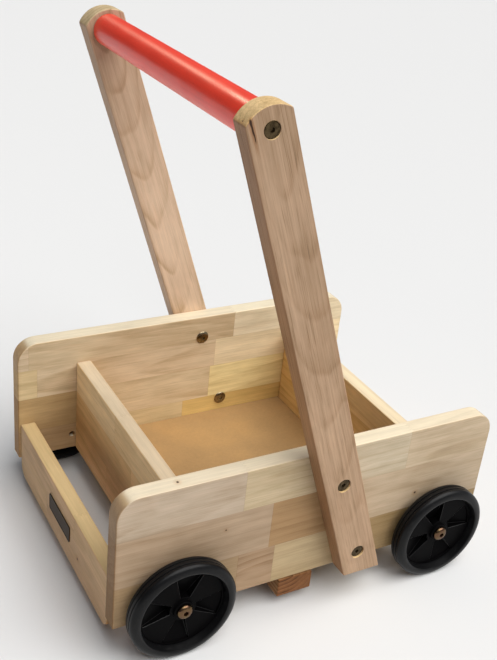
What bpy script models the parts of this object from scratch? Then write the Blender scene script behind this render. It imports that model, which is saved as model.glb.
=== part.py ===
"""Toddler's push walker: a rubberwood tray on four free-turning wheels, with a leaning two-post push handle.

Metres, +Z up, +X the way it rolls, +Y its left side. The origin is on the floor under the middle of the tray.
"""

import math

import bmesh
import bpy
from mathutils import Matrix, Vector

# ---------------------------------------------------------------- driving dimensions
FIT_GAP = 0.0003  # air left between pieces that touch
HOLE_SLACK = 0.0003  # how much wider a hole's radius is than what sits in it
EASED_EDGE = 0.0010  # bevel on the sawn edges of the timber
BLIND_GAP = 0.0008  # left beyond the end of what sits in a blind hole
CUT_PAST = 0.0020  # how far a cut runs past a face

TRAY_WIDTH = 0.288  # clear width between the two side panels
PANEL_LENGTH = 0.450
PANEL_HEIGHT = 0.156
PANEL_THICK = 0.020
PANEL_CORNER = 0.025  # radius of the panels' two top corners

BOARD_THICK = 0.0175  # front board, divider and rear board
BOARD_HEIGHT = 0.122  # front board and divider
REAR_BOARD_TOP = 0.049  # above the panels' bottom edge
REAR_BOARD_DROP = 0.021  # below the panels' bottom edge
REAR_BOARD_CORNER = 0.016  # radius of its two lower corners
REAR_INSET = 0.0025  # panel ends to the rear board's outer face
REAR_BAY = 0.0515  # clear length between the rear board and the divider
FRONT_OVERHANG = 0.069  # front board's outer face to the panels' front ends
BASE_THICK = 0.013

BATTEN_WIDTH = 0.042
BATTEN_THICK = 0.023
BATTEN_PROUD = 0.0015  # how far its ends stand out past the panels
BATTEN_X = -0.0145

POST_WIDTH = 0.044
POST_THICK = 0.0225
POST_LEAN = math.radians(19.0)  # backwards from upright
POST_WHEEL_GAP = 0.0225  # the front wheels' rear edge to a post's foot
POST_SHOULDER = 0.5465  # along the centre line, foot to the ends of the top arc
POST_ARC = 0.030  # radius of the top arc
POST_BOLT_LOW = 0.032  # along the centre line
POST_BOLT_HIGH = 0.1345
HANDLE_ALONG = 0.5355
HANDLE_RADIUS = 0.0165

WHEEL_RADIUS = 0.058
WHEEL_WIDTH = 0.020
WHEEL_GAP = 0.0065  # side panel to the tyre
AXLE_UP = 0.0205  # above the panels' bottom edge
AXLE_STANDOFF = 0.0048  # past the divider's rear face and the front board's front face
TYRE_DEPTH = 0.0120  # tread down to the hub
TYRE_SHOULDER = 0.0055  # width of each rounded shoulder
TREAD_GROOVE = 0.0025  # each groove's distance from the middle of the tread
REAR_WHEEL_TURN = math.radians(-8.0)
FRONT_WHEEL_TURN = math.radians(19.0)
WEB_POCKETS = 4
POCKET_ANGLE = math.radians(41.0)
POCKET_INNER = 0.0145
POCKET_RIM = 0.0025  # left between a pocket and the tyre's seat
WEB_FACE = 0.0020  # pads' outer face, from the tyre's middle plane

SHANK_RADIUS = 0.0030  # M6
CONNECTOR_HEAD = 0.0074  # head radius of the flat-head connector bolts
CONNECTOR_HEAD_THICK = 0.0022
POST_BOLT_SUNK = 0.0014  # post bolt heads below the post's face
HANDLE_BOLT_SUNK = 0.0004
NUT_HEAD = 0.0083  # domed head of the sleeve nuts
NUT_BARREL = 0.0044
NUT_LENGTH = 0.0140
INSERT_RADIUS = 0.0050
INSERT_LENGTH = 0.0127
SOCKET_RADIUS = 0.0024  # hex sockets, across corners / 2
SOCKET_DEPTH = 0.0016
AXLE_SOCKET_RADIUS = 0.0029
AXLE_SOCKET_DEPTH = 0.0030
AXLE_HEAD = 0.0085
AXLE_TIP_SHORT = 0.0040  # an axle bolt's tip to the panel's inner face
NUT_TIP_SHORT = 0.0048  # a post bolt's tip to the panel's inner face
BUSH_RADIUS = 0.0050
BUSH_FLANGE = 0.0090
BUSH_FLANGE_THICK = 0.0015

DOWEL_RADIUS = 0.0040
DOWEL_LENGTH = 0.0300
DOWEL_IN_PANEL = 0.0100
SCREW_RADIUS = 0.0019
SCREW_HEAD = 0.0038
SCREW_LENGTH = 0.0320
BASE_SCREW_Y = 0.060  # the batten's screws into the base board, from the middle

PLATE_LENGTH = 0.066
PLATE_HEIGHT = 0.020
PLATE_THICK = 0.0010
PLATE_UP = 0.017  # plate's middle above the panels' bottom edge

ROUND_STEPS = 12  # sides of small round pieces
HANDLE_STEPS = 32
WHEEL_STEPS = 32

# ---------------------------------------------------------------- places that follow from them
PANEL_BOTTOM = WHEEL_RADIUS - AXLE_UP
PANEL_TOP = PANEL_BOTTOM + PANEL_HEIGHT
PANEL_INNER_Y = TRAY_WIDTH / 2
PANEL_OUTER_Y = PANEL_INNER_Y + PANEL_THICK
POST_INNER_Y = PANEL_OUTER_Y + FIT_GAP
POST_OUTER_Y = POST_INNER_Y + POST_THICK
REAR_BOARD_X = -PANEL_LENGTH / 2 + REAR_INSET
DIVIDER_X = REAR_BOARD_X + BOARD_THICK + REAR_BAY
FRONT_BOARD_X = PANEL_LENGTH / 2 - FRONT_OVERHANG - BOARD_THICK
REAR_AXLE_X = DIVIDER_X - AXLE_STANDOFF
FRONT_AXLE_X = FRONT_BOARD_X + BOARD_THICK + AXLE_STANDOFF
AXLE_Z = PANEL_BOTTOM + AXLE_UP
WHEEL_Y = PANEL_OUTER_Y + WHEEL_GAP + WHEEL_WIDTH / 2
TYRE_SEAT = WHEEL_RADIUS - TYRE_DEPTH
POST_FRONT_X = FRONT_AXLE_X - WHEEL_RADIUS - POST_WHEEL_GAP
POST_FOOT_X = POST_FRONT_X - POST_WIDTH / 2 / math.cos(POST_LEAN)
BOARD_END_Y = PANEL_INNER_Y - FIT_GAP
SCREW_PANEL_Y = PANEL_INNER_Y + PANEL_THICK / 2

SIDES = {"left": 1, "right": -1}
AXLES = {"front": (FRONT_AXLE_X, FRONT_WHEEL_TURN), "rear": (REAR_AXLE_X, REAR_WHEEL_TURN)}


# ---------------------------------------------------------------- scene, collections and materials
def clear_scene():
    for obj in list(bpy.data.objects):
        bpy.data.objects.remove(obj, do_unlink=True)


def new_collection(name):
    collection = bpy.data.collections.new(name)
    bpy.context.scene.collection.children.link(collection)
    return collection


def material(name, colour, roughness, metallic=0.0):
    made = bpy.data.materials.new(name)
    made.use_nodes = True
    shader = made.node_tree.nodes["Principled BSDF"]
    shader.inputs["Base Color"].default_value = (*colour, 1.0)
    shader.inputs["Roughness"].default_value = roughness
    shader.inputs["Metallic"].default_value = metallic
    return made


def make_materials():
    return {
        "panel_wood": material("panel_wood", (0.66, 0.47, 0.29), 0.48),
        "board_wood": material("board_wood", (0.60, 0.41, 0.22), 0.50),
        "post_wood": material("post_wood", (0.50, 0.31, 0.19), 0.50),
        "batten_wood": material("batten_wood", (0.40, 0.23, 0.11), 0.60),
        "fibreboard": material("fibreboard", (0.45, 0.25, 0.10), 0.65),
        "red_paint": material("red_paint", (0.72, 0.06, 0.03), 0.32),
        "tyre_rubber": material("tyre_rubber", (0.012, 0.012, 0.015), 0.42),
        "wheel_plastic": material("wheel_plastic", (0.010, 0.010, 0.011), 0.50),
        "bronze_zinc": material("bronze_zinc", (0.34, 0.27, 0.15), 0.34, 1.0),
        "yellow_zinc": material("yellow_zinc", (0.62, 0.42, 0.22), 0.30, 1.0),
        "steel": material("steel", (0.58, 0.58, 0.57), 0.32, 1.0),
        "bush_nylon": material("bush_nylon", (0.80, 0.78, 0.72), 0.45),
        "dowel_wood": material("dowel_wood", (0.64, 0.48, 0.30), 0.60),
        "dark_plate": material("dark_plate", (0.022, 0.018, 0.014), 0.40),
    }


# ---------------------------------------------------------------- ways of making a solid
def link(mesh, name, paint, collection):
    obj = bpy.data.objects.new(name, mesh)
    collection.objects.link(obj)
    if paint is not None:
        mesh.materials.append(paint)
    return obj


def mesh_from(bm, name):
    mesh = bpy.data.meshes.new(name)
    bm.to_mesh(mesh)
    bm.free()
    return mesh


def ease_edges(obj, width=EASED_EDGE):
    bevel = obj.modifiers.new("eased_edges", "BEVEL")
    bevel.width = width
    bevel.segments = 1
    bevel.limit_method = "ANGLE"
    bevel.angle_limit = math.radians(50)


def box(name, low, high, paint, collection):
    """A box between two corners, with its origin at its middle."""
    size = Vector(high) - Vector(low)
    bm = bmesh.new()
    bmesh.ops.create_cube(bm, size=1.0, matrix=Matrix.Diagonal((*size, 1.0)))
    obj = link(mesh_from(bm, name), name, paint, collection)
    obj.location = (Vector(low) + Vector(high)) / 2
    return obj


def plate(name, outline, y_middle, thickness, paint, collection):
    """A flat piece standing in the XZ plane: its outline is (x, z) points, its thickness runs along Y."""
    curve = bpy.data.curves.new(name, "CURVE")
    curve.dimensions = "2D"
    curve.fill_mode = "BOTH"
    curve.extrude = thickness / 2
    spline = curve.splines.new("POLY")
    spline.points.add(len(outline) - 1)
    for point, (x, z) in zip(spline.points, outline):
        point.co = (x, z, 0.0, 1.0)
    spline.use_cyclic_u = True
    flat = bpy.data.objects.new(name + "_outline", curve)
    collection.objects.link(flat)
    flat.rotation_euler = (math.pi / 2, 0.0, 0.0)
    flat.location = (0.0, y_middle, 0.0)
    bpy.context.view_layer.update()
    mesh = bpy.data.meshes.new_from_object(flat.evaluated_get(bpy.context.evaluated_depsgraph_get()))
    placed = flat.matrix_world.copy()
    bpy.data.objects.remove(flat, do_unlink=True)
    bm = bmesh.new()
    bm.from_mesh(mesh)
    bpy.data.meshes.remove(mesh)
    bmesh.ops.remove_doubles(bm, verts=bm.verts, dist=0.00001)
    bmesh.ops.dissolve_limit(bm, angle_limit=0.001, verts=bm.verts, edges=bm.edges)
    bmesh.ops.recalc_face_normals(bm, faces=bm.faces)
    obj = link(mesh_from(bm, name), name, paint, collection)
    obj.matrix_world = placed
    return obj


def turned(name, profile, steps, paint, collection, closed=False):
    """A turned solid about local Z. The profile's (radius, height) points run down its outer side."""
    bm = bmesh.new()
    verts = [bm.verts.new((radius, 0.0, height)) for radius, height in profile]
    pairs = list(zip(verts, verts[1:]))
    if closed:
        pairs.append((verts[-1], verts[0]))
    for pair in pairs:
        bm.edges.new(pair)
    obj = link(mesh_from(bm, name), name, paint, collection)
    screw = obj.modifiers.new("turned", "SCREW")
    screw.steps = steps
    screw.render_steps = steps
    screw.use_merge_vertices = True
    screw.merge_threshold = 0.00001
    screw.use_smooth_shade = False
    return obj


def cut(obj, cutter):
    cutter.hide_render = True
    cutter.display_type = "WIRE"
    boolean = obj.modifiers.new(cutter.name, "BOOLEAN")
    boolean.operation = "DIFFERENCE"
    boolean.solver = "EXACT"
    boolean.object = cutter


def pointing(start, direction):
    """A matrix that takes local Z to the direction and the origin to the start."""
    return Matrix.Translation(start) @ Vector(direction).to_track_quat("Z", "Y").to_matrix().to_4x4()


def drill(obj, label, holes, cutters, steps=ROUND_STEPS):
    """Holes given as (mouth, direction, depth, mouth radius, end radius). Holes in one call don't meet."""
    bm = bmesh.new()
    for mouth, direction, depth, mouth_radius, end_radius in holes:
        inward = Vector(direction).normalized()
        widening = (mouth_radius - end_radius) / depth * CUT_PAST
        bmesh.ops.create_cone(
            bm,
            cap_ends=True,
            segments=steps,
            radius1=mouth_radius + widening,
            radius2=end_radius,
            depth=depth + CUT_PAST,
            matrix=pointing(Vector(mouth) + inward * (depth - CUT_PAST) / 2, inward),
        )
    cut(obj, link(mesh_from(bm, label), label, None, cutters))


def solid_mesh(obj):
    """The finished mesh of an object with modifiers, which is then removed."""
    bpy.context.view_layer.update()
    mesh = bpy.data.meshes.new_from_object(obj.evaluated_get(bpy.context.evaluated_depsgraph_get()))
    bpy.data.objects.remove(obj, do_unlink=True)
    return mesh


def place_copies(mesh, places, paint, collection):
    """A separate object for each copy of a fastener, at the matrix that its name is given."""
    mesh.materials.clear()
    mesh.materials.append(paint)
    for name, place in places.items():
        link(mesh, name, None, collection).matrix_world = place


def arc(centre, radius, start, end, steps):
    """Points on an arc from one angle to another, ends included."""
    angles = [start + (end - start) * step / steps for step in range(steps + 1)]
    return [(centre[0] + radius * math.cos(a), centre[1] + radius * math.sin(a)) for a in angles]


# ---------------------------------------------------------------- fasteners
def hex_socket(obj, face_height, depth, radius, cutters):
    """A hexagonal key socket sunk into the top of a turned fastener."""
    drill(
        obj,
        obj.name + "_socket",
        [((0, 0, face_height), (0, 0, -1), depth, radius, radius)],
        cutters,
        steps=6,
    )


def connector_bolt_mesh(reach, cutters):
    """Flat-head connector bolt: its head's top is at z = 0 and its tip at z = -reach."""
    under = -CONNECTOR_HEAD_THICK
    rim = 0.0007  # chamfer around the head's top
    profile = [
        (0.0, 0.0),
        (CONNECTOR_HEAD - rim, 0.0),
        (CONNECTOR_HEAD, -rim),
        (CONNECTOR_HEAD, under),
        (SHANK_RADIUS, under),
        (SHANK_RADIUS, -reach),
        (0.0, -reach),
    ]
    bolt = turned("connector_bolt", profile, ROUND_STEPS, None, cutters)
    hex_socket(bolt, 0.0, SOCKET_DEPTH, SOCKET_RADIUS, cutters)
    return solid_mesh(bolt)


def sleeve_nut_mesh(cutters):
    """Domed sleeve nut: its head stands on z = 0 and its barrel runs down into the wood."""
    dome = 0.0027
    closed_end = -0.0010  # solid metal below the head's seat
    inner = SHANK_RADIUS + HOLE_SLACK
    profile = [
        (0.0, dome),
        (NUT_HEAD * 0.60, dome * 0.86),
        (NUT_HEAD * 0.88, dome * 0.50),
        (NUT_HEAD, FIT_GAP),
        (NUT_BARREL, FIT_GAP),
        (NUT_BARREL, -NUT_LENGTH),
        (inner, -NUT_LENGTH),
        (inner, closed_end),
        (0.0, closed_end),
    ]
    nut = turned("sleeve_nut", profile, ROUND_STEPS, None, cutters)
    hex_socket(nut, dome, SOCKET_DEPTH, SOCKET_RADIUS, cutters)
    return solid_mesh(nut)


def tube_mesh(inner, outer, low, high, cutters):
    profile = [(inner, high), (outer, high), (outer, low), (inner, low)]
    return solid_mesh(turned("tube", profile, ROUND_STEPS, None, cutters, closed=True))


def dowel_mesh(cutters):
    half = DOWEL_LENGTH / 2
    chamfer = 0.0008
    profile = [
        (0.0, half),
        (DOWEL_RADIUS - chamfer, half),
        (DOWEL_RADIUS, half - chamfer),
        (DOWEL_RADIUS, chamfer - half),
        (DOWEL_RADIUS - chamfer, -half),
        (0.0, -half),
    ]
    return solid_mesh(turned("dowel", profile, ROUND_STEPS, None, cutters))


def wood_screw_mesh(cutters):
    """Countersunk screw: its head's flat is just inside z = 0 and its point is up at its full length."""
    sink = 0.0004
    cone = SCREW_HEAD - SCREW_RADIUS
    profile = [
        (0.0, SCREW_LENGTH),
        (SCREW_RADIUS, SCREW_LENGTH - 2 * SCREW_RADIUS),
        (SCREW_RADIUS, sink + cone),
        (SCREW_HEAD, sink),
        (0.0, sink),
    ]
    return solid_mesh(turned("wood_screw", profile, ROUND_STEPS, None, cutters))


# ---------------------------------------------------------------- the handle posts' slant
def on_post(across, along):
    """World (x, z) of a point on a post: across its width, forwards positive, and along its centre line."""
    x = POST_FOOT_X + across * math.cos(POST_LEAN) - along * math.sin(POST_LEAN)
    z = PANEL_BOTTOM + across * math.sin(POST_LEAN) + along * math.cos(POST_LEAN)
    return x, z


def post_outline():
    half = POST_WIDTH / 2
    foot = [on_post(across, -across * math.tan(POST_LEAN)) for across in (-half, half)]
    spread = math.asin(half / POST_ARC)
    centre = (0.0, POST_SHOULDER - POST_ARC * math.cos(spread))
    top = arc(centre, POST_ARC, math.pi / 2 - spread, math.pi / 2 + spread, 10)
    return foot + [on_post(across, along) for across, along in top]


def post_stations():
    """(x, z) of the two bolts that hold each post to its panel."""
    return {"lower": on_post(0.0, POST_BOLT_LOW), "upper": on_post(0.0, POST_BOLT_HIGH)}


# ---------------------------------------------------------------- tray
def panel_outline():
    half = PANEL_LENGTH / 2
    corner = PANEL_CORNER
    front = arc((half - corner, PANEL_TOP - corner), corner, 0.0, math.pi / 2, 8)
    rear = arc((corner - half, PANEL_TOP - corner), corner, math.pi / 2, math.pi, 8)
    return [(-half, PANEL_BOTTOM), (half, PANEL_BOTTOM)] + front + rear


def boards():
    """The three cross boards: rear face's x, lowest z and highest z."""
    top = PANEL_BOTTOM + BOARD_HEIGHT
    return {
        "front_board": (FRONT_BOARD_X, PANEL_BOTTOM, top),
        "divider_board": (DIVIDER_X, PANEL_BOTTOM, top),
        "rear_board": (REAR_BOARD_X, PANEL_BOTTOM - REAR_BOARD_DROP, PANEL_BOTTOM + REAR_BOARD_TOP),
    }


def dowel_places(x_rear, low, high):
    """(x, z) of a board's two dowels, at the quarter points of what its panel covers."""
    foot = max(low, PANEL_BOTTOM)
    x = x_rear + BOARD_THICK / 2
    shares = {"lower": 0.25, "upper": 0.75}
    return {level: (x, foot + (high - foot) * share) for level, share in shares.items()}


def batten_screw_spots():
    """(x, y) of the batten's screws: on each side an outer one into the panel, an inner one into the base."""
    spots = {}
    for side, sign in SIDES.items():
        spots[side + "_outer"] = (BATTEN_X, sign * SCREW_PANEL_Y)
        spots[side + "_inner"] = (BATTEN_X, sign * BASE_SCREW_Y)
    return spots


def make_panel(name, side, paints, parts, cutters):
    middle = side * (PANEL_INNER_Y + PANEL_THICK / 2)
    panel = plate(name, panel_outline(), middle, PANEL_THICK, paints["panel_wood"], parts)
    ease_edges(panel)
    outer = side * PANEL_OUTER_Y
    inner = side * PANEL_INNER_Y
    inward = (0, -side, 0)
    insert_hole = INSERT_RADIUS + HOLE_SLACK
    barrel_hole = NUT_BARREL + HOLE_SLACK
    dowel_hole = DOWEL_RADIUS + HOLE_SLACK
    pilot = SCREW_RADIUS + HOLE_SLACK
    through = PANEL_THICK + CUT_PAST
    wide = []
    for x, z in post_stations().values():
        wide.append(((x, outer, z), inward, through, barrel_hole, barrel_hole))
    for x, _ in AXLES.values():
        wide.append(((x, outer, AXLE_Z), inward, INSERT_LENGTH + BLIND_GAP, insert_hole, insert_hole))
    for place in boards().values():
        for x, z in dowel_places(*place).values():
            depth = DOWEL_IN_PANEL + BLIND_GAP
            wide.append(((x, inner, z), (0, side, 0), depth, dowel_hole, dowel_hole))
    for x, y in batten_screw_spots().values():
        if abs(y) > PANEL_INNER_Y and y * side > 0:
            depth = SCREW_LENGTH - BATTEN_THICK + BLIND_GAP
            wide.append(((x, y, PANEL_BOTTOM), (0, 0, 1), depth, pilot, pilot))
    drill(panel, name + "_holes", wide, cutters)
    shank_hole = SHANK_RADIUS + 2 * HOLE_SLACK
    outward = (0, side, 0)
    half = PANEL_THICK / 2
    narrow = [((x, inner, AXLE_Z), outward, half, shank_hole, shank_hole) for x, _ in AXLES.values()]
    drill(panel, name + "_axle_holes", narrow, cutters)


def rear_board_outline(low, high):
    """The rear board seen from behind, as (y, z), with its two lower corners rounded."""
    radius = REAR_BOARD_CORNER
    left = arc((radius - BOARD_END_Y, low + radius), radius, math.pi, 1.5 * math.pi, 6)
    right = arc((BOARD_END_Y - radius, low + radius), radius, 1.5 * math.pi, 2 * math.pi, 6)
    return left + right + [(BOARD_END_Y, high), (-BOARD_END_Y, high)]


def make_rear_board(x_rear, low, high, paint, parts):
    """Made as a plate in XZ about the origin, then turned to stand across the walker."""
    board = plate("rear_board", rear_board_outline(low, high), 0.0, BOARD_THICK, paint, parts)
    turn = Matrix.Rotation(math.pi / 2, 4, "Z")
    place = Matrix.Translation((x_rear + BOARD_THICK / 2, 0.0, 0.0))
    board.matrix_world = place @ turn @ board.matrix_world
    return board


def make_boards(paints, parts, cutters):
    dowel_hole = DOWEL_RADIUS + HOLE_SLACK
    depth = DOWEL_LENGTH - DOWEL_IN_PANEL + BLIND_GAP
    for name, (x_rear, low, high) in boards().items():
        if name == "rear_board":
            board = make_rear_board(x_rear, low, high, paints["board_wood"], parts)
        else:
            corner = (x_rear + BOARD_THICK, BOARD_END_Y, high)
            board = box(name, (x_rear, -BOARD_END_Y, low), corner, paints["board_wood"], parts)
        ease_edges(board)
        holes = []
        for side in SIDES.values():
            for x, z in dowel_places(x_rear, low, high).values():
                holes.append(((x, side * BOARD_END_Y, z), (0, -side, 0), depth, dowel_hole, dowel_hole))
        drill(board, name + "_dowel_holes", holes, cutters)


def make_base(paints, parts, cutters):
    low = (DIVIDER_X + BOARD_THICK + FIT_GAP, -BOARD_END_Y, PANEL_BOTTOM)
    high = (FRONT_BOARD_X - FIT_GAP, BOARD_END_Y, PANEL_BOTTOM + BASE_THICK)
    base = box("base_board", low, high, paints["fibreboard"], parts)
    pilot = SCREW_RADIUS + HOLE_SLACK
    depth = SCREW_LENGTH - BATTEN_THICK + BLIND_GAP
    spots = [spot for spot in batten_screw_spots().values() if abs(spot[1]) < PANEL_INNER_Y]
    holes = [((x, y, PANEL_BOTTOM), (0, 0, 1), depth, pilot, pilot) for x, y in spots]
    drill(base, "base_screw_holes", holes, cutters)


def make_batten(paints, parts, cutters):
    half_length = PANEL_OUTER_Y + BATTEN_PROUD
    top = PANEL_BOTTOM - FIT_GAP
    foot = top - BATTEN_THICK
    low = (BATTEN_X - BATTEN_WIDTH / 2, -half_length, foot)
    high = (BATTEN_X + BATTEN_WIDTH / 2, half_length, top)
    batten = box("cross_batten", low, high, paints["batten_wood"], parts)
    ease_edges(batten)
    pilot = SCREW_RADIUS + HOLE_SLACK
    mouth = SCREW_HEAD + 2 * HOLE_SLACK
    through = BATTEN_THICK + CUT_PAST
    spots = batten_screw_spots()
    shanks = [((x, y, foot), (0, 0, 1), through, pilot, pilot) for x, y in spots.values()]
    drill(batten, "batten_screw_holes", shanks, cutters)
    sinks = [((x, y, foot), (0, 0, 1), mouth - pilot, mouth, pilot) for x, y in spots.values()]
    drill(batten, "batten_countersinks", sinks, cutters)
    places = {"batten_screw_" + where: Matrix.Translation((x, y, foot)) for where, (x, y) in spots.items()}
    place_copies(wood_screw_mesh(cutters), places, paints["steel"], parts)


def make_dowels(paints, parts, cutters):
    places = {}
    for board, place in boards().items():
        for side, sign in SIDES.items():
            middle = sign * (PANEL_INNER_Y + DOWEL_IN_PANEL - DOWEL_LENGTH / 2)
            for level, (x, z) in dowel_places(*place).items():
                name = board.replace("_board", "_dowel") + f"_{side}_{level}"
                places[name] = pointing((x, middle, z), (0, sign, 0))
    place_copies(dowel_mesh(cutters), places, paints["dowel_wood"], parts)


def make_name_plate(paints, parts):
    """A plain dark plate, with nothing on it, on the rear board's outer face."""
    outer = REAR_BOARD_X - FIT_GAP
    middle = PANEL_BOTTOM + PLATE_UP
    low = (outer - PLATE_THICK, -PLATE_LENGTH / 2, middle - PLATE_HEIGHT / 2)
    high = (outer, PLATE_LENGTH / 2, middle + PLATE_HEIGHT / 2)
    box("name_plate", low, high, paints["dark_plate"], parts)


# ---------------------------------------------------------------- handle
def make_post(name, side, paints, parts, cutters):
    middle = side * (POST_INNER_Y + POST_THICK / 2)
    post = plate(name, post_outline(), middle, POST_THICK, paints["post_wood"], parts)
    ease_edges(post)
    outer = side * POST_OUTER_Y
    inward = (0, -side, 0)
    head_hole = CONNECTOR_HEAD + HOLE_SLACK
    shank_hole = SHANK_RADIUS + HOLE_SLACK
    handle = on_post(0.0, HANDLE_ALONG)
    sinks = [(spot, POST_BOLT_SUNK) for spot in post_stations().values()]
    sinks.append((handle, HANDLE_BOLT_SUNK))
    heads = []
    shanks = []
    for (x, z), sunk in sinks:
        depth = sunk + CONNECTOR_HEAD_THICK + FIT_GAP
        heads.append(((x, outer, z), inward, depth, head_hole, head_hole))
        shanks.append(((x, outer, z), inward, POST_THICK + CUT_PAST, shank_hole, shank_hole))
    drill(post, name + "_counterbores", heads, cutters)
    drill(post, name + "_bolt_holes", shanks, cutters)


def make_post_fasteners(paints, parts, cutters):
    stack = POST_THICK + FIT_GAP + PANEL_THICK
    bolts = {}
    nuts = {}
    for side, sign in SIDES.items():
        for level, (x, z) in post_stations().items():
            head = (x, sign * (POST_OUTER_Y - POST_BOLT_SUNK), z)
            bolts[f"post_bolt_{side}_{level}"] = pointing(head, (0, sign, 0))
            nuts[f"sleeve_nut_{side}_{level}"] = pointing((x, sign * PANEL_INNER_Y, z), (0, -sign, 0))
    reach = stack - POST_BOLT_SUNK - NUT_TIP_SHORT
    place_copies(connector_bolt_mesh(reach, cutters), bolts, paints["bronze_zinc"], parts)
    place_copies(sleeve_nut_mesh(cutters), nuts, paints["bronze_zinc"], parts)


def make_handle(paints, parts, cutters):
    """Round bar between the posts, with a threaded insert and a bolt at each end."""
    x, z = on_post(0.0, HANDLE_ALONG)
    half = POST_INNER_Y - FIT_GAP
    edge = 0.0010
    profile = [
        (0.0, half),
        (HANDLE_RADIUS - edge, half),
        (HANDLE_RADIUS, half - edge),
        (HANDLE_RADIUS, edge - half),
        (HANDLE_RADIUS - edge, -half),
        (0.0, -half),
    ]
    bar = turned("handle_bar", profile, HANDLE_STEPS, paints["red_paint"], parts)
    insert_hole = INSERT_RADIUS + HOLE_SLACK
    depth = INSERT_LENGTH + FIT_GAP + BLIND_GAP
    holes = [((0, 0, side * half), (0, 0, -side), depth, insert_hole, insert_hole) for side in SIDES.values()]
    drill(bar, "handle_bar_holes", holes, cutters)
    bar.matrix_world = pointing((x, 0.0, z), (0, 1, 0))
    bar_holes = bpy.data.objects["handle_bar_holes"]
    bar_holes.matrix_world = bar.matrix_world
    inserts = {}
    bolts = {}
    for side, sign in SIDES.items():
        inserts["handle_insert_" + side] = pointing((x, sign * (half - FIT_GAP), z), (0, sign, 0))
        head = (x, sign * (POST_OUTER_Y - HANDLE_BOLT_SUNK), z)
        bolts["handle_bolt_" + side] = pointing(head, (0, sign, 0))
    insert = tube_mesh(SHANK_RADIUS + HOLE_SLACK, INSERT_RADIUS, -INSERT_LENGTH, 0.0, cutters)
    place_copies(insert, inserts, paints["steel"], parts)
    reach = POST_THICK - HANDLE_BOLT_SUNK + INSERT_LENGTH
    place_copies(connector_bolt_mesh(reach, cutters), bolts, paints["bronze_zinc"], parts)


# ---------------------------------------------------------------- wheels
# An axle's own frame starts on the axle line at the tyre's middle plane, with +Z away from the walker.
PANEL_AT = -(WHEEL_GAP + WHEEL_WIDTH / 2)  # the panel's outer face in that frame
BUSH_INNER = PANEL_AT + FIT_GAP
FLANGE_OUTER = BUSH_INNER + BUSH_FLANGE_THICK
HUB_INNER = FLANGE_OUTER + FIT_GAP
HUB_OUTER = WEB_FACE + 0.0035
BUSH_OUTER = HUB_OUTER + FIT_GAP
HEAD_UNDER = BUSH_OUTER + FIT_GAP
HEAD_RISE = 0.0043


def tyre_profile():
    """Ring section: conical inner wall, rounded shoulders and two grooves in the tread."""
    half = WHEEL_WIDTH / 2
    flat = half - TYRE_SHOULDER
    rise = 0.0075  # of a shoulder, from its inner edge up to the tread
    shoulder_in = WHEEL_RADIUS - rise
    groove_half = 0.0007
    groove_deep = 0.0014
    lip = (shoulder_in - 0.0025, half - 0.0006)
    back_inset = 0.0020  # of the tyre's seat, from its inner side
    bend = [(math.sin(turn), math.cos(turn)) for turn in (0.0, math.pi / 4, math.pi / 2)]
    shoulder = [(shoulder_in + rise * up, flat + TYRE_SHOULDER * out) for up, out in bend]
    groove = [
        (WHEEL_RADIUS, TREAD_GROOVE + groove_half),
        (WHEEL_RADIUS - groove_deep, TREAD_GROOVE),
        (WHEEL_RADIUS, TREAD_GROOVE - groove_half),
    ]
    outer_half = [lip, *shoulder, *groove]
    inner_half = [(radius, -height) for radius, height in reversed(outer_half)]
    return [(TYRE_SEAT, WEB_FACE), *outer_half, *inner_half, (TYRE_SEAT, back_inset - half)]


def hub_profile():
    """Disc section: bore, outer boss, flat pads, rim, dished back and inner boss."""
    bore = BUSH_RADIUS + HOLE_SLACK
    boss = 0.0110
    boss_edge = 0.0008  # chamfer around the outer boss
    rim = TYRE_SEAT - FIT_GAP
    rim_inside = rim - 0.0030
    rim_back = WEB_FACE - 0.0100
    web_back = WEB_FACE - 0.0060  # behind the pads, beside the rim
    dish_back = web_back - 0.0060  # behind the pockets' deep ends
    dish_edge = boss + 0.0060
    return [
        (bore, HUB_OUTER),
        (boss - boss_edge, HUB_OUTER),
        (boss, WEB_FACE),
        (rim, WEB_FACE),
        (rim, rim_back),
        (rim_inside, rim_back),
        (rim_inside, web_back),
        (dish_edge, dish_back),
        (boss, dish_back),
        (boss, HUB_INNER),
        (bore, HUB_INNER),
    ]


def pocket_cutter(cutters):
    """Four wedge-shaped pockets whose floors slope down towards the hub."""
    outer_floor = WEB_FACE - 0.0025
    inner_floor = WEB_FACE - 0.0092
    above = WEB_FACE + CUT_PAST
    outer = TYRE_SEAT - POCKET_RIM
    section = [
        (POCKET_INNER, inner_floor),
        (outer, outer_floor),
        (outer, above),
        (POCKET_INNER, above),
    ]
    bm = bmesh.new()
    for pocket in range(WEB_POCKETS):
        start = Matrix.Rotation(2 * math.pi * pocket / WEB_POCKETS - POCKET_ANGLE / 2, 3, "Z")
        face = bm.faces.new([bm.verts.new(start @ Vector((r, 0.0, h))) for r, h in section])
        swept = [face, *face.edges, *face.verts]
        bmesh.ops.spin(bm, geom=swept, cent=(0, 0, 0), axis=(0, 0, 1), angle=POCKET_ANGLE, steps=5)
    bmesh.ops.recalc_face_normals(bm, faces=bm.faces)
    return link(mesh_from(bm, "pocket_cutter"), "pocket_cutter", None, cutters)


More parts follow.
